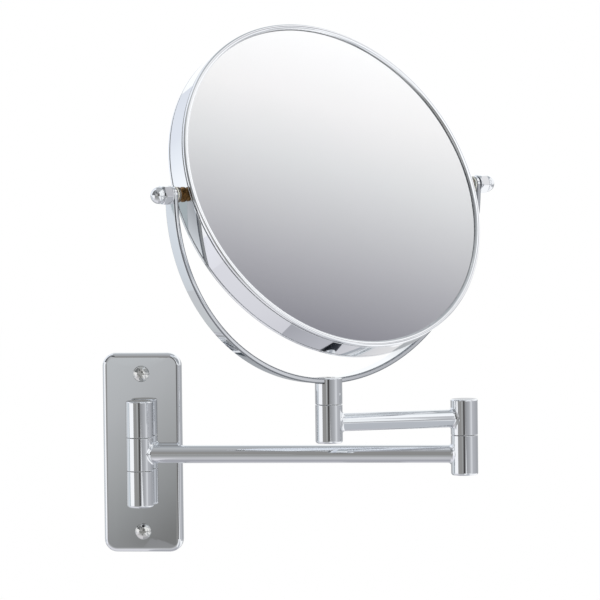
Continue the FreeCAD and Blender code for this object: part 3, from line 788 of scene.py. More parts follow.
def pressedSheet(width, height, depth):
    # a flat front whose edge rolls back to the wall all round, the same thickness everywhere
    sizes = plateSizes
    edge, sheet, steps = sizes["edge"], sizes["sheet"], sizes["edgeSteps"]
    straight = depth - edge
    outside = [(0.0, 0.0), (0.0, straight)]  # (inset, distance from the wall)
    for step in range(1, steps + 1):
        angle = math.radians(90 * step / steps)
        outside.append((edge * (1 - math.cos(angle)), depth - edge * (1 - math.sin(angle))))
    share = (edge - sheet) / edge
    inside = [(sheet + inset * share, out if out <= straight else straight + (out - straight) * share)
              for inset, out in outside]
    vertices, rings = [], []
    for inset, out in inside[::-1] + outside:
        loop = plateLoop(width, height, inset, out)
        rings.append(range(len(vertices), len(vertices) + len(loop)))
        vertices += loop
    return shellOf(vertices, joinRings(rings, False) + [list(rings[0]), list(rings[-1])])


def crownedFront(plate, width, depth):
    # the front cut into upright strips and bowed a little, as a press leaves it
    sizes = plateSizes
    build = bmesh.new()
    build.from_mesh(plate)
    for cut in range(1, sizes["cuts"]):
        x = width * (cut / sizes["cuts"] - 0.5)
        everything = build.verts[:] + build.edges[:] + build.faces[:]
        bmesh.ops.bisect_plane(build, geom=everything, plane_co=(x, 0, 0), plane_no=(1, 0, 0))
    for vertex in build.verts:
        fall = sizes["crown"] * (2 * vertex.co.x / width) ** 2
        vertex.co.y += fall * -vertex.co.y / depth
    build.to_mesh(plate)
    build.free()


def makeWallPlate():
    sizes = plateSizes
    low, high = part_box("wall_plate")
    width, depth, height = (high.x - low.x) / mm, -low.y / mm, (high.z - low.z) / mm
    plate = pressedSheet(width, height, depth)
    room = sizes["holeRoom"]
    for z, radius in (
        (pairHeight("wall_screws", wallScrewSizes["headRadius"]), sizes["screwHole"]),
        (middleHeight("upper_wall_knuckle"), sizes["knuckleHole"]),
    ):
        for side in (-1, 1):
            drill = turnedMesh(discOf(radius, -room, depth + room, count=32), 90, "X")
            plate = combined(plate, movedMesh(drill, 0, 0, side * z))
    crownedFront(plate, width, depth)
    addPiece("wallPlateShell", plate, Matrix.Identity(4), "wall_bracket", "chrome_plate", ["wall_plate"])


def threaded(shank, sizes, start, length, slot):
    # a shank with a thread on it that begins at that height
    return grown(shank, threadTree, {
        "Turns": length / sizes["pitch"], "Radius": sizes["core"], "Ridge": sizes["thread"],
        "Length": length, "Start": start, "Material": materials[slot],
    })


def twoInRow(screw, node, headRadius, slot):
    # one screw above the middle and one below it
    reach = pairHeight(node, headRadius)
    return grown(screw, rowTree, {
        "Count": 2, "Start": (0, -reach, 0), "Step": (0, 2 * reach, 0), "Material": materials[slot],
    })


wallScrewSizes = {
    "headRadius": 4.7,
    "headHeight": 3.0,
    "rimHeight": 0.9,
    "domeSteps": 10,
    "recess": (5.2, 1.2, 1.8),  # length, width and depth of the cross
    "recessFloor": (0.55, 0.6),  # share of its length and width that is left at the bottom
    "neck": 1.7,
    "neckLength": 4.6,
    "neckTaper": 0.4,
    "core": 1.55,
    "point": 5.0,
    "runOut": 1.0,  # how far below the neck the thread ends
    "thread": 0.62,
    "pitch": 1.8,
    "length": 36.0,
}


def crossCut(head, top):
    # a cross recess whose two slots narrow towards the bottom
    length, width, depth = wallScrewSizes["recess"]
    floorLength, floorWidth = wallScrewSizes["recessFloor"]
    for turn in (0, 90):
        slot = box(length, width, top - depth, top + 1)
        for vertex in slot.vertices:
            if vertex.co.z < top:
                vertex.co.x *= floorLength
                vertex.co.y *= floorWidth
        head = combined(head, turnedMesh(slot, turn, "Z"))
    return head


def makeWallScrews():
    # pan heads with a cross, a plain neck and a coarse thread down to the point
    sizes = wallScrewSizes
    radius, height, rim = sizes["headRadius"], sizes["headHeight"], sizes["rimHeight"]
    neck, neckEnd, core = sizes["neck"], -sizes["neckLength"], sizes["core"]
    rise = height - rim
    ball = (radius ** 2 + rise ** 2) / (2 * rise)
    sweep = math.asin(radius / ball)
    angles = [sweep * k / sizes["domeSteps"] for k in range(sizes["domeSteps"])]
    outline = [Vector((ball * math.sin(angle), height - ball * (1 - math.cos(angle)))) for angle in angles]
    pointStart = sizes["point"] - sizes["length"]
    outline += rounded([
        (radius, rim, 0.25), (radius, 0, 0.15), (neck, 0, 0.1), (neck, neckEnd, 0),
        (core, neckEnd - sizes["neckTaper"], 0), (core, pointStart, 0), (0, -sizes["length"], 0),
    ], 3)
    screw = crossCut(lathe(outline, 48), height)
    screw = threaded(screw, sizes, pointStart, neckEnd - pointStart - sizes["runOut"], "plated_screw")
    screws = twoInRow(screw, "wall_screws", radius, "plated_screw")
    place = placeOf((0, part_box("wall_plate")[0].y, 0), (0, -1, 0), (1, 0, 0))
    addPiece("wallScrewPair", screws, place, "wall_bracket", "plated_screw", ["wall_screws"])


makeWallPlate()
makeWallScrews()
print("wall plate and its screws made")


# Hidden screws and bolts

backScrewSizes = {
    "headRadius": 3.6, "headHeight": 2.3, "slotLength": 7.92, "slotWidth": 1.2, "slotDepth": 1.1,
    "core": 1.75, "thread": 0.36, "pitch": 0.7, "tip": 0.3, "plain": 1.5,
}


def makeBackScrews():
    # slotted screws inside the plate that hold the two fixed barrels
    sizes = backScrewSizes
    place = placeOf((0, 0, 0), (0, 1, 0), (1, 0, 0))
    size = sizeIn(place, "knuckle_screws")
    top, bottom, radius, core = size["high"], size["low"], sizes["headRadius"], sizes["core"]
    seat = top - sizes["headHeight"]
    screw = turned([
        (0, top, 0), (radius, top, 0.8), (radius, seat, 0.1),
        (core, seat, 0.05), (core, bottom, sizes["tip"]), (0, bottom, 0),
    ], 4, 40)
    slot = box(sizes["slotLength"], sizes["slotWidth"], top - sizes["slotDepth"], top + 1)
    screw = combined(screw, slot)
    screw = threaded(screw, sizes, bottom + sizes["tip"], seat - bottom - sizes["plain"], "zinc_steel")
    screws = twoInRow(screw, "knuckle_screws", radius, "zinc_steel")
    addPiece("knuckleScrewPair", screws, place, "wall_bracket", "zinc_steel", ["knuckle_screws"])


makeBackScrews()

boltSizes = {
    "headRadius": 4.15, "headHeight": 5.0, "socket": 4.0, "socketDepth": 2.6,
    "ridges": 28, "ridge": 0.16, "ridgeStart": 0.7, "ridgeEnd": 0.3, "ridgeTaper": 0.2,
    "core": 2.2, "thread": 0.34, "pitch": 0.8, "threadShare": 0.5, "tip": 0.4,
}


def makeBolt(name, node, place, body):
    # a socket-head bolt pushed up from below, its head knurled round the side
    sizes = boltSizes
    size = sizeIn(place, node)
    bottom, tip, radius, core = size["low"], size["high"], sizes["headRadius"], sizes["core"]
    seat = bottom + sizes["headHeight"]
    low, high, taper = bottom + sizes["ridgeStart"], seat - sizes["ridgeEnd"], sizes["ridgeTaper"]
    ridge = turned([
        (0, low, 0), (sizes["ridge"], low + taper, 0), (sizes["ridge"], high - taper, 0), (0, high, 0),
    ], 4, 6)
    ridges = grown(movedMesh(ridge, radius, 0, 0), roundTree,
                   {"Count": sizes["ridges"], "Material": materials["black_bolt"]})
    bolt = turned([
        (0, bottom, 0), (radius, bottom, 0.5), (radius, seat, 0.15),
        (core, seat, 0.1), (core, tip, sizes["tip"]), (0, tip, 0),
    ], 4, 56)
    socket = prism(hexagon(sizes["socket"]), bottom - 1, bottom + sizes["socketDepth"])
    bolt = combined(bolt, socket)
    length = (tip - seat) * sizes["threadShare"]
    bolt = threaded(bolt, sizes, tip - length - sizes["tip"], length, "black_bolt")
    addPiece(name, joinedShells(bolt, ridges), place, body, "black_bolt", [node])


makeBolt("wallHingeBolt", "wall_hinge_bolt", wallPlace, "wall_bracket")
makeBolt("elbowBolt", "elbow_bolt", elbowHighPlace, "short_arm")
makeBolt("wristBolt", "wrist_bolt", yokePlace, "yoke")
print("hidden screws and bolts made")


# Yoke

yokeSizes = {
    "thickness": 3.1,
    "edge": 0.8,
    "edgeSteps": 5,
    "pivotHole": 2.6,
    "screwHole": 2.2,
    "screwHead": 3.8,
    "screwShank": 1.9,
    "coneExtra": 0.3,  # the screw's cone goes on this far below the hole's
    "headRoom": 0.1,
    "mouthRoom": 0.5,
    "mouthDrop": 0.02,
    "drillReach": 3.0,
    "stations": 150,
    "endSteps": 24,
    "socket": 2.5,
    "socketDepth": 1.3,
    "holderTop": 0.6,
    "holderBore": 6.0,
    "slotRoom": 0.1,
    # faces of the strap whose facing lies between these get the painted edge shade
    "paintedShadeFacing": (0.12, 0.985),  # 0 faces sideways out of the strap, 1 square off its face
}


def flatStrap(halfLength, halfWidth, thickness, edge):
    # a flat bar with half-round ends and rounded edges; its half length is to an end's centre
    sizes = yokeSizes
    steps = sizes["edgeSteps"]
    section = []  # (inset, height) from the top face round the edge to the bottom face
    for step in range(steps + 1):
        angle = math.radians(90 * step / steps)
        section.append((edge * (1 - math.sin(angle)), thickness / 2 - edge * (1 - math.cos(angle))))
    section += [(inset, -height) for inset, height in section[::-1]]
    vertices, rings = [], []
    for inset, height in section:
        start = len(vertices)
        radius = halfWidth - inset
        for side in (1, -1):
            for step in range(sizes["endSteps"] + 1):
                angle = math.radians(-90 + 180 * step / sizes["endSteps"])
                vertices.append((side * (halfLength + radius * math.cos(angle)),
                                 side * radius * math.sin(angle), height))
            for step in range(1, sizes["stations"]):
                x = side * halfLength * (1 - 2 * step / sizes["stations"])
                vertices.append((x, side * radius, height))
        rings.append(range(start, len(vertices)))
    faces = joinRings(rings, False)
    for ring in (rings[0], rings[-1]):
        faces += ladder(vertices, ring)
    return shellOf(vertices, faces)


def ladder(vertices, ring):
    # strips across a loop that is even about y = 0: each joins a point to its mirror image
    byPlace = {}
    for index in ring:
        x, y, _ = vertices[index]
        byPlace.setdefault(round(x, 4), []).append((y, index))
    rungs = [[index for _, index in sorted(byPlace[x])] for x in sorted(byPlace)]
    faces = []
    for rung, after in zip(rungs, rungs[1:]):
        face = rung + after[::-1]
        if len(set(face)) > 2:
            faces.append(list(dict.fromkeys(face)))
    return faces


def makeStrap(size):
    sizes = yokeSizes
    outer, thickness, reach = size["wide"], sizes["thickness"], sizes["drillReach"]
    straight = -size["low"] - outer
    bend = outer - thickness / 2
    halfLength = bend * math.pi / 2 + straight
    bar = flatStrap(halfLength, size["deep"], thickness, sizes["edge"])
    for x in (-halfLength, halfLength):
        drill = discOf(sizes["pivotHole"], -reach, reach)
        bar = combined(bar, movedMesh(drill, x, 0, 0))
    # the countersunk hole for the yoke's screw opens on the inside of the bend
    low, head, hole = -thickness / 2, sizes["screwHead"] + sizes["headRoom"], sizes["screwHole"]
    mouth = head + sizes["mouthRoom"]
    sink = turned([
        (0, -reach, 0), (mouth, -reach, 0), (mouth, low - sizes["mouthDrop"], 0), (head, low, 0),
        (hole, low + head - hole, 0), (hole, reach, 0), (0, reach, 0),
    ], 4, 48)
    bar = combined(bar, sink)
    strap = grown(bar, bendTree, {
        "Bend Radius": bend, "Straight End": straight, "Material": materials["chrome_plate"],
    })
    # the rounded edges, which face neither sideways nor square off the strap, get the darker chrome: painted shade
    # along the edges
    strap.materials.append(materials["strap_edge_painted_shade"])
    least, most = sizes["paintedShadeFacing"]
    for face in strap.polygons:
        outward = Vector((face.center.x, 0, min(0, face.center.z + straight))).normalized()
        if least < abs(face.normal.dot(outward)) < most:
            face.material_index = len(strap.materials) - 1
    addPiece("yokeStrap", strap, strapPlace, "yoke", "chrome_plate", ["yoke_strap"], ownSurfaces=True)


def makeHolder(strapWidth):
    # the strap lies in a slot that runs right across the holder's top
    sizes = yokeSizes
    size = sizeIn(yokePlace, "yoke_holder")
    top = size["high"]
    holder = cappedBarrel(size, sizes["holderTop"], size["low"] + sizes["holderBore"])
    slot = box(3 * size["outer"], strapWidth + 2 * sizes["slotRoom"], top - sizes["thickness"], top + 2)
    holder = combined(holder, slot)
    addPiece("yokeHolder", holder, yokePlace, "yoke", "chrome_plate", ["yoke_holder"])


def makeYokeScrew():
    sizes = yokeSizes
    size = sizeIn(yokePlace, "yoke_screw")
    top, end, head, shank = size["high"], size["low"], sizes["screwHead"], sizes["screwShank"]
    coneEnd = top - (head - sizes["screwHole"]) - sizes["coneExtra"]
    screw = turned([
        (0, top, 0), (head, top, 0.2), (shank, coneEnd, 0.1), (shank, end, 0.2), (0, end, 0),
    ], 4, 56)
    socket = prism(hexagon(sizes["socket"]), top - sizes["socketDepth"], top + 1)
    screw = combined(screw, socket)
    addPiece("yokeScrew", screw, yokePlace, "yoke", "plated_screw", ["yoke_screw"])


strapSize = sizeIn(strapPlace, "yoke_strap")
makeStrap(strapSize)
makeHolder(2 * strapSize["deep"])
makeYokeScrew()
print("yoke made")


# Mirror head

headSizes = {
    "turns": 256,
    "bandRounding": 0.3,
    "pivotHole": 2.6,
    "drillReach": 120.0,
    "beadHeight": 1.6,
    "beadRadius": 1.3,
    "beadSteps": 10,
    "skirtRoom": 0.05,
    "skirtWall": 0.7,
    "skirtLength": 1.4,
    "silverDepth": 0.8,
    "magnifierThickness": 2.5,
    "magnifierCurve": 800.0,
    "bowlSteps": 40,
    "boardGap": 0.04,  # between the silver and the lacquered board behind it
    "backRoom": 0.04,  # the board stays this far off the ring and the foam behind it
    "paintRoom": 0.01,  # how far off the silver's depth a silvered face may lie
    "foamEdge": 0.4,
}


def makeRimBand():
    sizes = headSizes
    rounding, reach = sizes["bandRounding"], sizes["drillReach"]
    band = ringOf(sizeIn(headPlace, "rim_band"), rounding, rounding, 5, sizes["turns"])
    drill = turnedMesh(discOf(sizes["pivotHole"], -reach, reach), 90, "Y")
    band = combined(band, drill)
    addPiece("rimBand", band, headPlace, "mirror_head", "chrome_plate", ["rim_band"])


def makeBezel(name, node, place):
    # a bead that rises from the glass and rounds over to the outside, and a skirt inside the band
    sizes = headSizes
    size = sizeIn(place, node)
    outer, inner, top, low = size["outer"], size["inner"], size["high"], size["low"]
    radius, height, steps = sizes["beadRadius"], sizes["beadHeight"], sizes["beadSteps"]
    seat, foot = top - height, low + sizes["skirtLength"]
    skirtOuter = sizeIn(place, "rim_band")["inner"] - sizes["skirtRoom"]
    skirtInner = skirtOuter - sizes["skirtWall"]
    middle = outer - radius
    angles = [math.pi / 2 * step / steps for step in range(steps + 1)]
    bead = [(middle - (middle - inner) * math.cos(angle), seat + height * math.sin(angle), 0)
            for angle in angles]
    bead += [(middle + radius * math.sin(angle), top - radius * (1 - math.cos(angle)), 0)
             for angle in angles[1:]]
    ring = turned([
        *bead, (outer, foot, 0.25), (skirtOuter, foot, 0.1),
        (skirtOuter, low, 0.15), (skirtInner, low, 0.15), (skirtInner, seat, 0.1),
    ], 6, sizes["turns"])
    # the bezel's chrome, whose lighter colour is painted light
    ring.materials.append(materials["spun_bezel_painted_light"])
    addPiece(name, ring, place, "mirror_head", "chrome_plate", [node], ownSurfaces=True)


def paintMirror(disc, depthOf, silver, board):
    # Clear faces first, then the silver behind them and the lacquered board behind that;
    # depthOf says how far back a corner lies.
    near = headSizes["paintRoom"]
    for material in (floatGlass, materials["silvered_glass"], materials["mirror_back"]):
        disc.materials.append(material)
    for face in disc.polygons:
        depths = [depthOf(disc.vertices[index].co) for index in face.vertices]
        if all(abs(depth - silver) < near for depth in depths):
            face.material_index = 1
        elif min(depths) > board - near:
            face.material_index = 2


def makeFlatGlass():
    sizes = headSizes
    size = sizeIn(headPlace, "flat_glass")
    edge, front = size["outer"], size["high"]
    silver = front - sizes["silverDepth"]
    board = silver - sizes["boardGap"]
    back = size["low"] + sizes["backRoom"]
    glass = discOf(edge, silver, front, 0.1, 0.2, 2, sizes["turns"])
    backing = discOf(edge, back, board, 0.2, 0.1, 2, sizes["turns"])
    disc = joinedShells(glass, backing)
    paintMirror(disc, lambda corner: -corner.z, -silver, -board)
    addPiece("flatMirrorGlass", disc, headPlace, "mirror_head", "silvered_glass", ["flat_glass"],
             ownSurfaces=True)


def makeMagnifier():
    # dished evenly: its faces are parts of balls about one point in front of it
    sizes = headSizes
    place = placeOf(pivotPoint, -facing, pivotAxis)
    size = sizeIn(place, "magnifying_glass")
    edge = size["outer"]
    curve = sizes["magnifierCurve"]
    silver = curve + sizes["silverDepth"]
    board = silver + sizes["boardGap"]
    behind = curve + sizes["magnifierThickness"] - sizes["backRoom"]
    middle = Vector((0, 0, size["high"] + math.sqrt(curve ** 2 - edge ** 2)))

    def bowl(radius):
        steps = sizes["bowlSteps"]
        places = [edge * step / steps for step in range(steps + 1)]
        return [Vector((across, middle.z - math.sqrt(radius ** 2 - across ** 2))) for across in places]

    glass = lathe(bowl(curve) + bowl(silver)[::-1], sizes["turns"])
    backing = lathe(bowl(board) + bowl(behind)[::-1], sizes["turns"])
    disc = joinedShells(glass, backing)
    paintMirror(disc, lambda corner: (corner - middle).length, silver, board)
    addPiece("magnifyingMirrorGlass", disc, place, "mirror_head", "silvered_glass", ["magnifying_glass"],
             ownSurfaces=True)


def makeFoamPad():
    size = sizeIn(headPlace, "foam_pad")
    edge = headSizes["foamEdge"]
    pad = discOf(size["outer"], size["low"], size["high"], edge, edge, 4, 96)
    piece = addPiece("foamDisc", pad, headPlace, "mirror_head", "foam", ["foam_pad"])


makeRimBand()
makeBezel("frontBezel", "front_bezel", headPlace)
makeBezel("rearBezel", "rear_bezel", placeOf(pivotPoint, -facing, pivotAxis))
makeFlatGlass()
makeMagnifier()
makeFoamPad()
print("mirror head made")


# Pivots: each piece is turned once about the pivot axis and repeated at the other side

pivotSizes = {
    "hexFlats": 10.0, "hexHeight": 5.0, "hexEdge": 0.25, "hexTurn": 30,
    "bevel": 0.9, "bevelRise": 0.54, "bevelRoom": 0.1,
    "neckInset": 0.5, "neckHeight": 0.8, "domeInset": 0.2, "domeStraight": 0.6, "domeSteps": 12,
    "studBore": 2.5, "boreEnd": 0.5, "drillPoint": 1.2, "fitBore": 2.55, "groove": 1.3,
}


def addPair(name, mesh, slot, node):
    # the head's frame, with the pair's own axis along the pivot
    pair = grown(turnedMesh(mesh, 90, "Y"), roundTree, {"Count": 2, "Material": materials[slot]})
    addPiece(name, pair, headPlace, "mirror_head", slot, [node])


def pivotSize(node):
    # of the piece at the pivot's far end, out of a node that holds a pair
    return sizeIn(rightPivotPlace, node, farSide=True)


def makeBushes():
    # brass, with a groove turned round the middle
    bore, groove = pivotSizes["fitBore"], pivotSizes["groove"]
    size = pivotSize("pivot_bushes")
    low, high, outer = size["low"], size["high"], size["outer"]
    middle = (low + high) / 2
    addPair("brassBushes", turned([
        (bore, low, 0.1), (outer, low, 0.15), (outer, middle - groove, 0.1), (outer - groove, middle, 0.12),
        (outer, middle + groove, 0.1), (outer, high, 0.15), (bore, high, 0.1),
    ], 4, 56), "bush_brass", "pivot_bushes")


def makeSpringsAndWashers():
    bore = pivotSizes["fitBore"]
    size = pivotSize("pivot_springs")
    low, high, outer = size["low"], size["high"], size["outer"]
    sheet = (high - low) / 2
    addPair("coneSprings", turned([
        (bore, low + sheet, 0.08), (outer, low, 0.08), (outer, low + sheet, 0.08), (bore, high, 0.08),
    ], 3, 48), "spring_steel", "pivot_springs")
    for name, node in (("innerWashers", "pivot_washers"), ("capWashers", "cap_washers")):
        size = {**pivotSize(node), "inner": bore}
        addPair(name, ringOf(size, 0.2, 0.1, 4, 56), slotOf[node], node)


def makeCapNuts():
    # a hexagon with bevelled corners, a short neck and a dome, bored from the hexagon's side
    sizes = pivotSizes
    start = pivotSize("cap_nuts")["low"]
    hexEnd = start + sizes["hexHeight"]
    corner, rise = sizes["hexFlats"] / math.sqrt(3), sizes["bevelRise"]
    flat, wide = corner - sizes["bevel"], corner + sizes["bevelRoom"]
    nut = prism(hexagon(sizes["hexFlats"], sizes["hexEdge"]), start - 1, hexEnd + 1)
    bevelled = turned([
        (0, start, 0), (flat, start, 0.1), (wide, start + rise, 0),
        (wide, hexEnd - rise, 0), (flat, hexEnd, 0.15), (0, hexEnd, 0),
    ], 3, 72)
    nut = combined(turnedMesh(nut, sizes["hexTurn"], "Z"), bevelled, "INTERSECT")
    radius = sizes["hexFlats"] / 2 - sizes["domeInset"]
    neck, neckEnd = radius - sizes["neckInset"], hexEnd + sizes["neckHeight"]
    domeMiddle = neckEnd + sizes["domeStraight"]
    outline = rounded([
        (0, hexEnd - 1, 0), (neck, hexEnd - 1, 0), (neck, neckEnd, 0.15), (radius, neckEnd, 0.25),
    ], 3)
    for step in range(sizes["domeSteps"]):
        angle = math.radians(90 * step / sizes["domeSteps"])
        outline.append(Vector((radius * math.cos(angle), domeMiddle + radius * math.sin(angle))))
    outline.append(Vector((0, domeMiddle + radius)))
    nut = combined(nut, lathe(outline, 72), "UNION")
    bore, studEnd = sizes["studBore"], pivotSize("pivot_studs")["high"]
    drill = turned([
        (0, start - 1, 0), (bore, start - 1, 0), (bore, studEnd + sizes["boreEnd"], 0),
        (0, studEnd + sizes["drillPoint"], 0),
    ])
    addPair("capNuts", combined(nut, drill), slotOf["cap_nuts"], "cap_nuts")


makeBushes()
makeSpringsAndWashers()
makeCapNuts()
print("pivots made")


# Camera

view = {
    "target": (0.0977, -0.040, 0.09042),
    "azimuth": 7.03,
    "elevation": 3.14,
    "roll": -0.65,
    "distance": 2.879,
    "lens": 302.2,
    "sensor": 36.0,
    "nearest": 0.1,
    "farthest": 30.0,
}


def makeCamera():
    azimuth, elevation, roll = (math.radians(view[key]) for key in ("azimuth", "elevation", "roll"))
    forward = Vector((
        -math.sin(azimuth) * math.cos(elevation),
        math.cos(azimuth) * math.cos(elevation),
        -math.sin(elevation),
    ))
    level = Vector((math.cos(azimuth), math.sin(azimuth), 0))
    above = level.cross(forward)
    right = level * math.cos(roll) + above * math.sin(roll)
    upward = above * math.cos(roll) - level * math.sin(roll)
    lens = bpy.data.cameras.new("camera")
    lens.sensor_width = view["sensor"]
    lens.lens = view["lens"]
    lens.clip_start = view["nearest"]
    lens.clip_end = view["farthest"]
    camera = bpy.data.objects.new("camera", lens)
    camera.matrix_world = Matrix((right, upward, -forward)).transposed().to_4x4()
    camera.location = Vector(view["target"]) - forward * view["distance"]
    scene.collection.objects.link(camera)
    scene.camera = camera


makeCamera()


# Light: a white surround, and a tent of large cards round the mirror that only its bright
# metal and glass see. The cards are as plain as a studio's walls, window and ground.

studio = {
    "floorHeight": -0.36,
    "floorSize": 14.0,
    "floorColour": "#ffffff",
    "cardStrength": 1.22,  # the metal gives back about four fifths of what it sees
}

# The dark edge that the doorway and its post share, as (y, z) from the top down.
doorEdge = ((-0.048, 0.033), (-0.074, -0.034), (-0.09, -0.098), (-0.098, -0.158), (-0.103, -0.21))

# The room's own ranges of x, y and z in metres, from wall to wall and from ground to ceiling.
room = {"x": (-0.6, 1.0), "y": (-2.7, 1.0), "z": (-0.34, 1.6)}

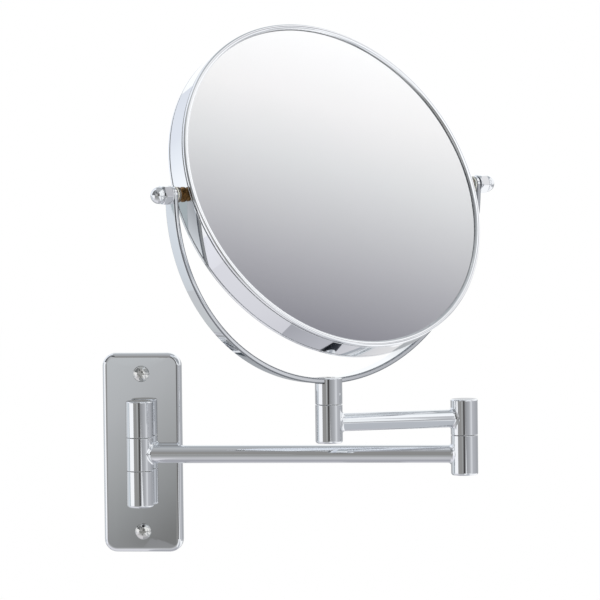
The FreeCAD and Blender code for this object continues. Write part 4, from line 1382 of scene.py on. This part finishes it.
# A card spans the room except where it names a range of its own, a single number for the plane
# it lies in, or an outline in that plane. Its tones change along y, or along the way it names.
cards = {
    "window": {
        "x": -0.6, "y": (-0.66, 0.03), "z": (-0.125, 0.19),
        "tones": ((-0.66, "#f8f8fa"), (0.03, "#f6f6f8")),
    },
    "windowFoot": {
        "x": -0.6, "y": (-0.66, 0.03), "z": (-0.34, -0.125), "along": (0, 0, 1),
        "tones": ((-0.34, "#e2e1e6"), (-0.125, "#e7e7ee")),
    },
    "windowBlind": {
        "x": -0.6, "y": (-0.66, -0.06), "z": (0.19, 1.6), "along": (0, 0, 1),
        "tones": ((0.19, "#5c5e60"), (0.5, "#7c7e80"), (0.75, "#707274"), (1.0, "#8c8e90"),
                  (1.6, "#9a9c9e")),
    },
    "doorway": {
        "x": -0.59, "outline": ((0.005, 0.135), (-0.036, 0.135), *doorEdge, (0.005, -0.21)),
        "along": (0, 0, 1),
        "tones": ((-0.3, "#9ba3a6"), (0.135, "#a7b0b3")),
    },
    "doorPost": {
        # the dark edge of the doorway
        "x": -0.59,
        "outline": (*doorEdge, (-0.107, -0.21), (-0.103, -0.148), (-0.097, -0.111), (-0.078, -0.041),
                    (-0.053, 0.025)),
        "along": (0, 0, 1),
        "tones": ((-0.3, "#1c2227"), (0.0, "#3a4146")),
    },
    "doorFrame": {
        "x": -0.59, "y": (-0.1, 0.02), "z": (0.135, 0.15), "along": (0, 0, 1),
        "tones": ((0.135, "#3a4146"), (0.15, "#2c3238")),
    },
    "leftLowWall": {
        "x": -0.598, "y": (0.005, 1.0), "z": (-0.34, 0.13),
        "tones": ((0.03, "#d6dbe1"), (0.15, "#d0d5da"), (0.35, "#c3c6c8"), (0.86, "#a4a4a6")),
    },
    "leftHighWall": {
        "x": -0.598, "y": (-0.06, 1.0), "z": (0.13, 1.6),
        "tones": ((0.0, "#fbfcff"), (0.15, "#ecf0f6"), (0.3, "#e2e6ee"), (1.0, "#d9dde5")),
    },
    "leftFrontWall": {
        "x": -0.6, "y": (-2.7, -0.66), "z": (-0.34, 0.05),
        "tones": ((-2.7, "#8c8b89"), (-0.66, "#929190")),
    },
    "leftFrontHigh": {
        "x": -0.6, "y": (-2.7, -0.66), "z": (0.05, 0.8),
        "tones": ((-2.7, "#bcbcbd"), (-1.2, "#b0b0b1"), (-0.66, "#848586")),
    },
    "leftFrontShade": {
        "x": -0.6, "y": (-2.7, -0.66), "z": (0.8, 1.6),
        "tones": ((-1.5, "#4c4e50"), (-1.0, "#585a5c"), (-0.66, "#a2a4a6")),
    },
    "frontWall": {
        "y": -2.7, "along": (1, 0, 0),
        "tones": ((-0.5, "#8f8e8c"), (0.0, "#8a8988"), (0.16, "#565454"), (0.24, "#323031"),
                  (0.52, "#323031"), (0.6, "#7e7e7e"), (0.82, "#868687"), (1.0, "#8f9093")),
    },
    "lowScreen": {
        "x": (-0.62, -0.24), "y": -2.68, "z": (-0.34, -0.055), "along": (-0.25, 0, 0.97),
        "tones": ((-0.24, "#777776"), (-0.178, "#909191"), (-0.125, "#a0a1a1"), (-0.055, "#b1b2b3"),
                  (0.015, "#babcbd")),
    },
    "rightLowWall": {
        "x": 1.0, "z": (-0.2, 0.03),
        "tones": ((-2.1, "#969799"), (-1.4, "#9e9fa2"), (-0.75, "#aaabae"), (-0.53, "#bebfc2"),
                  (-0.42, "#d0d1d4"), (-0.26, "#d2d3d6"), (-0.17, "#b3b4b8"), (0.17, "#adaeb2"),
                  (0.83, "#9e9fa3")),
    },
    "rightFoot": {
        "x": 1.0, "z": (-0.34, -0.2),
        "tones": ((-2.7, "#e6e7e9"), (-1.1, "#e8e9eb"), (-1.0, "#c4c5c8"), (-0.85, "#d8d9db"),
                  (-0.7, "#f0f1f3"), (-0.4, "#f2f3f4"), (-0.3, "#bcbdc0"), (1.0, "#b4b5b8")),
    },
    "rightHighWall": {
        "x": 1.0, "z": (0.03, 1.6),
        "tones": ((-2.7, "#e4e5e7"), (-1.8, "#f6f7f8"), (-1.05, "#f1f3f4"), (-0.8, "#fafbfd"),
                  (-0.35, "#ecedef"), (0.1, "#e6e7e9"), (0.2, "#f7f7f8")),
    },
    "armShade": {
        "x": 0.995, "y": (-1.0, -0.84), "z": (0.03, 0.8),
        "tones": ((-1.0, "#dcdddf"), (-0.97, "#bebfc2"), (-0.84, "#bdbec1")),
    },
    "yokeShade": {
        "x": 0.995, "y": (-0.33, -0.05), "z": (0.03, 0.2),
        "tones": ((-0.33, "#a6a7ab"), (-0.05, "#a8a9ad")),
    },
    "mirrorScreen": {
        # what the flat glass shows
        "x": 0.99, "y": (-0.2, 0.14), "z": (0.55, 1.15), "along": (0, 0.833, 0.553),
        "tones": ((0.29, "#7f7e86"), (0.35, "#aaa9ae"), (0.43, "#d8d8d9"), (0.48, "#eeecec"),
                  (0.54, "#fbfafa")),
    },
    "ceiling": {
        "z": 1.6,
        "tones": ((-2.56, "#919192"), (-1.55, "#9b9c9e"), (-0.89, "#a8aaac"), (-0.28, "#b2b4b6"),
                  (0.14, "#acafb2"), (0.4, "#9fa3a6"), (0.8, "#b2b6ba")),
    },
    "ceilingLight": {
        "x": (0.7, 1.0), "y": (-1.2, -0.05), "z": 1.59, "along": (0.8, -0.6, 0),
        "tones": ((0.6, "#b4b9bc"), (0.7, "#d0d4d7"), (0.85, "#e4e8ea"), (1.0, "#f8fafc")),
    },
    "ceilingFront": {
        "x": (0.3, 1.0), "y": (-2.7, -1.2), "z": 1.59, "along": (1, 0, 0),
        "tones": ((0.3, "#cfd1d3"), (0.6, "#f4f5f6"), (1.0, "#f6f7f8")),
    },
    "backWall": {
        "y": 1.0, "along": (0, 0, 1),
        "tones": ((-0.3, "#a4a7aa"), (0.05, "#a8a9ac"), (0.2, "#f2f4f5"), (0.65, "#fafbfc"),
                  (0.9, "#dfe2e4"), (1.15, "#c2c6ca"), (1.5, "#bac0c4")),
    },
    "leftGround": {
        "x": (-0.6, -0.04), "z": -0.34,
        "tones": ((-2.6, "#8a8a8b"), (-1.33, "#979897"), (-0.67, "#a1a2a3"), (-0.42, "#b7b7b9"),
                  (-0.13, "#dcdbe0"), (0.05, "#cfced3"), (0.2, "#c7c8cb"), (0.32, "#c0c3c5"),
                  (0.5, "#9a9da1"), (1.0, "#a2a5a9")),
    },
    "middleGround": {
        "x": (-0.04, 0.2), "z": -0.34,
        "tones": ((-2.6, "#8a8a8b"), (-1.33, "#979897"), (-0.67, "#a1a2a3"), (-0.42, "#bcbcbe"),
                  (-0.2, "#c0c0c4"), (-0.03, "#9e9ea4"), (0.06, "#aeaeb4"), (0.15, "#b6b6bc"),
                  (0.23, "#a4a4aa"), (0.275, "#cecdd1"), (0.6, "#d7d6d7")),
    },
    "bandGround": {
        "x": (0.114, 0.2), "y": (0.19, 1.0), "z": -0.338,
        "tones": ((0.19, "#c6c6cb"), (0.28, "#cecdd1"), (0.6, "#d7d6d7")),
    },
    "rightGround": {
        # the dull stripe across it is what the short arm shows
        "x": (0.2, 1.0), "z": -0.34, "along": (0.847, 0.531, 0),
        "tones": ((-1.3, "#f0f1f3"), (0.09, "#e8e9ec"), (0.14, "#b4b7bc"), (0.27, "#b8bbc0"),
                  (0.32, "#ecedef"), (0.6, "#fafafb"), (1.3, "#f4f4f5")),
    },
    "leftStand": {
        "x": (-0.3, -0.16), "y": (0.36, 0.5), "z": -0.33,
        "tones": ((0.36, "#262d33"), (0.5, "#4a5056")),
    },
    "middleStand": {
        "x": (0.076, 0.114), "y": (0.155, 0.218), "z": -0.33, "along": (1, 0, 0),
        "tones": ((0.076, "#4c4f57"), (0.09, "#101318"), (0.114, "#3a3d44")),
    },
}


def cardMaterial(name, card):
    material, tree, coordinates = startMaterial(name)
    tones = card["tones"]
    start, end = tones[0][0], tones[-1][0]
    along = addNode(tree, "ShaderNodeVectorMath", {
        0: coordinates, 1: card.get("along", (0, 1, 0)),
    }, {"operation": "DOT_PRODUCT"})
    share = addNode(tree, "ShaderNodeMapRange", {
        "Value": along.outputs["Value"], "From Min": start, "From Max": end,
    })
    ramp = addNode(tree, "ShaderNodeValToRGB", {"Fac": share.outputs["Result"]})
    elements = ramp.color_ramp.elements
    while len(elements) < len(tones):
        elements.new(0.5)
    for element, (place, tone) in zip(elements, tones):
        element.position = (place - start) / (end - start)
        element.color = linear(tone)
    glow = addNode(tree, "ShaderNodeEmission", {
        "Color": ramp.outputs["Color"], "Strength": studio["cardStrength"],
    })
    addNode(tree, "ShaderNodeOutputMaterial", {"Surface": glow.outputs["Emission"]})
    material.cycles.emission_sampling = "NONE"
    return material


def addStage(name, corners, material):
    mesh = bpy.data.meshes.new(name)
    mesh.from_pydata(corners, [], [range(len(corners))])
    mesh.materials.append(material)
    stage = bpy.data.objects.new(name, mesh)
    scene.collection.objects.link(stage)
    return stage


def cornersOf(card):
    x, y, z = (card.get(axis, room[axis]) for axis in "xyz")
    if "outline" in card:
        return [(x, across, height) for across, height in card["outline"]]
    if isinstance(x, float):
        return [(x, y[0], z[0]), (x, y[1], z[0]), (x, y[1], z[1]), (x, y[0], z[1])]
    if isinstance(y, float):
        return [(x[0], y, z[0]), (x[1], y, z[0]), (x[1], y, z[1]), (x[0], y, z[1])]
    return [(x[0], y[0], z), (x[1], y[0], z), (x[1], y[1], z), (x[0], y[1], z)]


def makeCards():
    for name, card in cards.items():
        stage = addStage(name, cornersOf(card), cardMaterial(name, card))
        stage.visible_camera = False
        stage.visible_diffuse = False
        stage.visible_shadow = False


def makeFloor():
    material = bpy.data.materials.new("paleFloor")
    material.use_nodes = True
    shader = material.node_tree.nodes["Principled BSDF"]
    shader.inputs["Base Color"].default_value = linear(studio["floorColour"])
    shader.inputs["Roughness"].default_value = 1.0
    shader.inputs["Specular IOR Level"].default_value = 0.0
    half, z = studio["floorSize"] / 2, studio["floorHeight"]
    addStage("floor", [(-half, -half, z), (half, -half, z), (half, half, z), (-half, half, z)], material)


def makeWorld():
    world = bpy.data.worlds.new("world")
    scene.world = world
    world.use_nodes = True
    background = world.node_tree.nodes["Background"]
    background.inputs["Color"].default_value = (1, 1, 1, 1)
    background.inputs["Strength"].default_value = 1.0


makeCards()
makeFloor()
makeWorld()
scene.view_settings.view_transform = "Standard"
print("camera, cards and floor made")
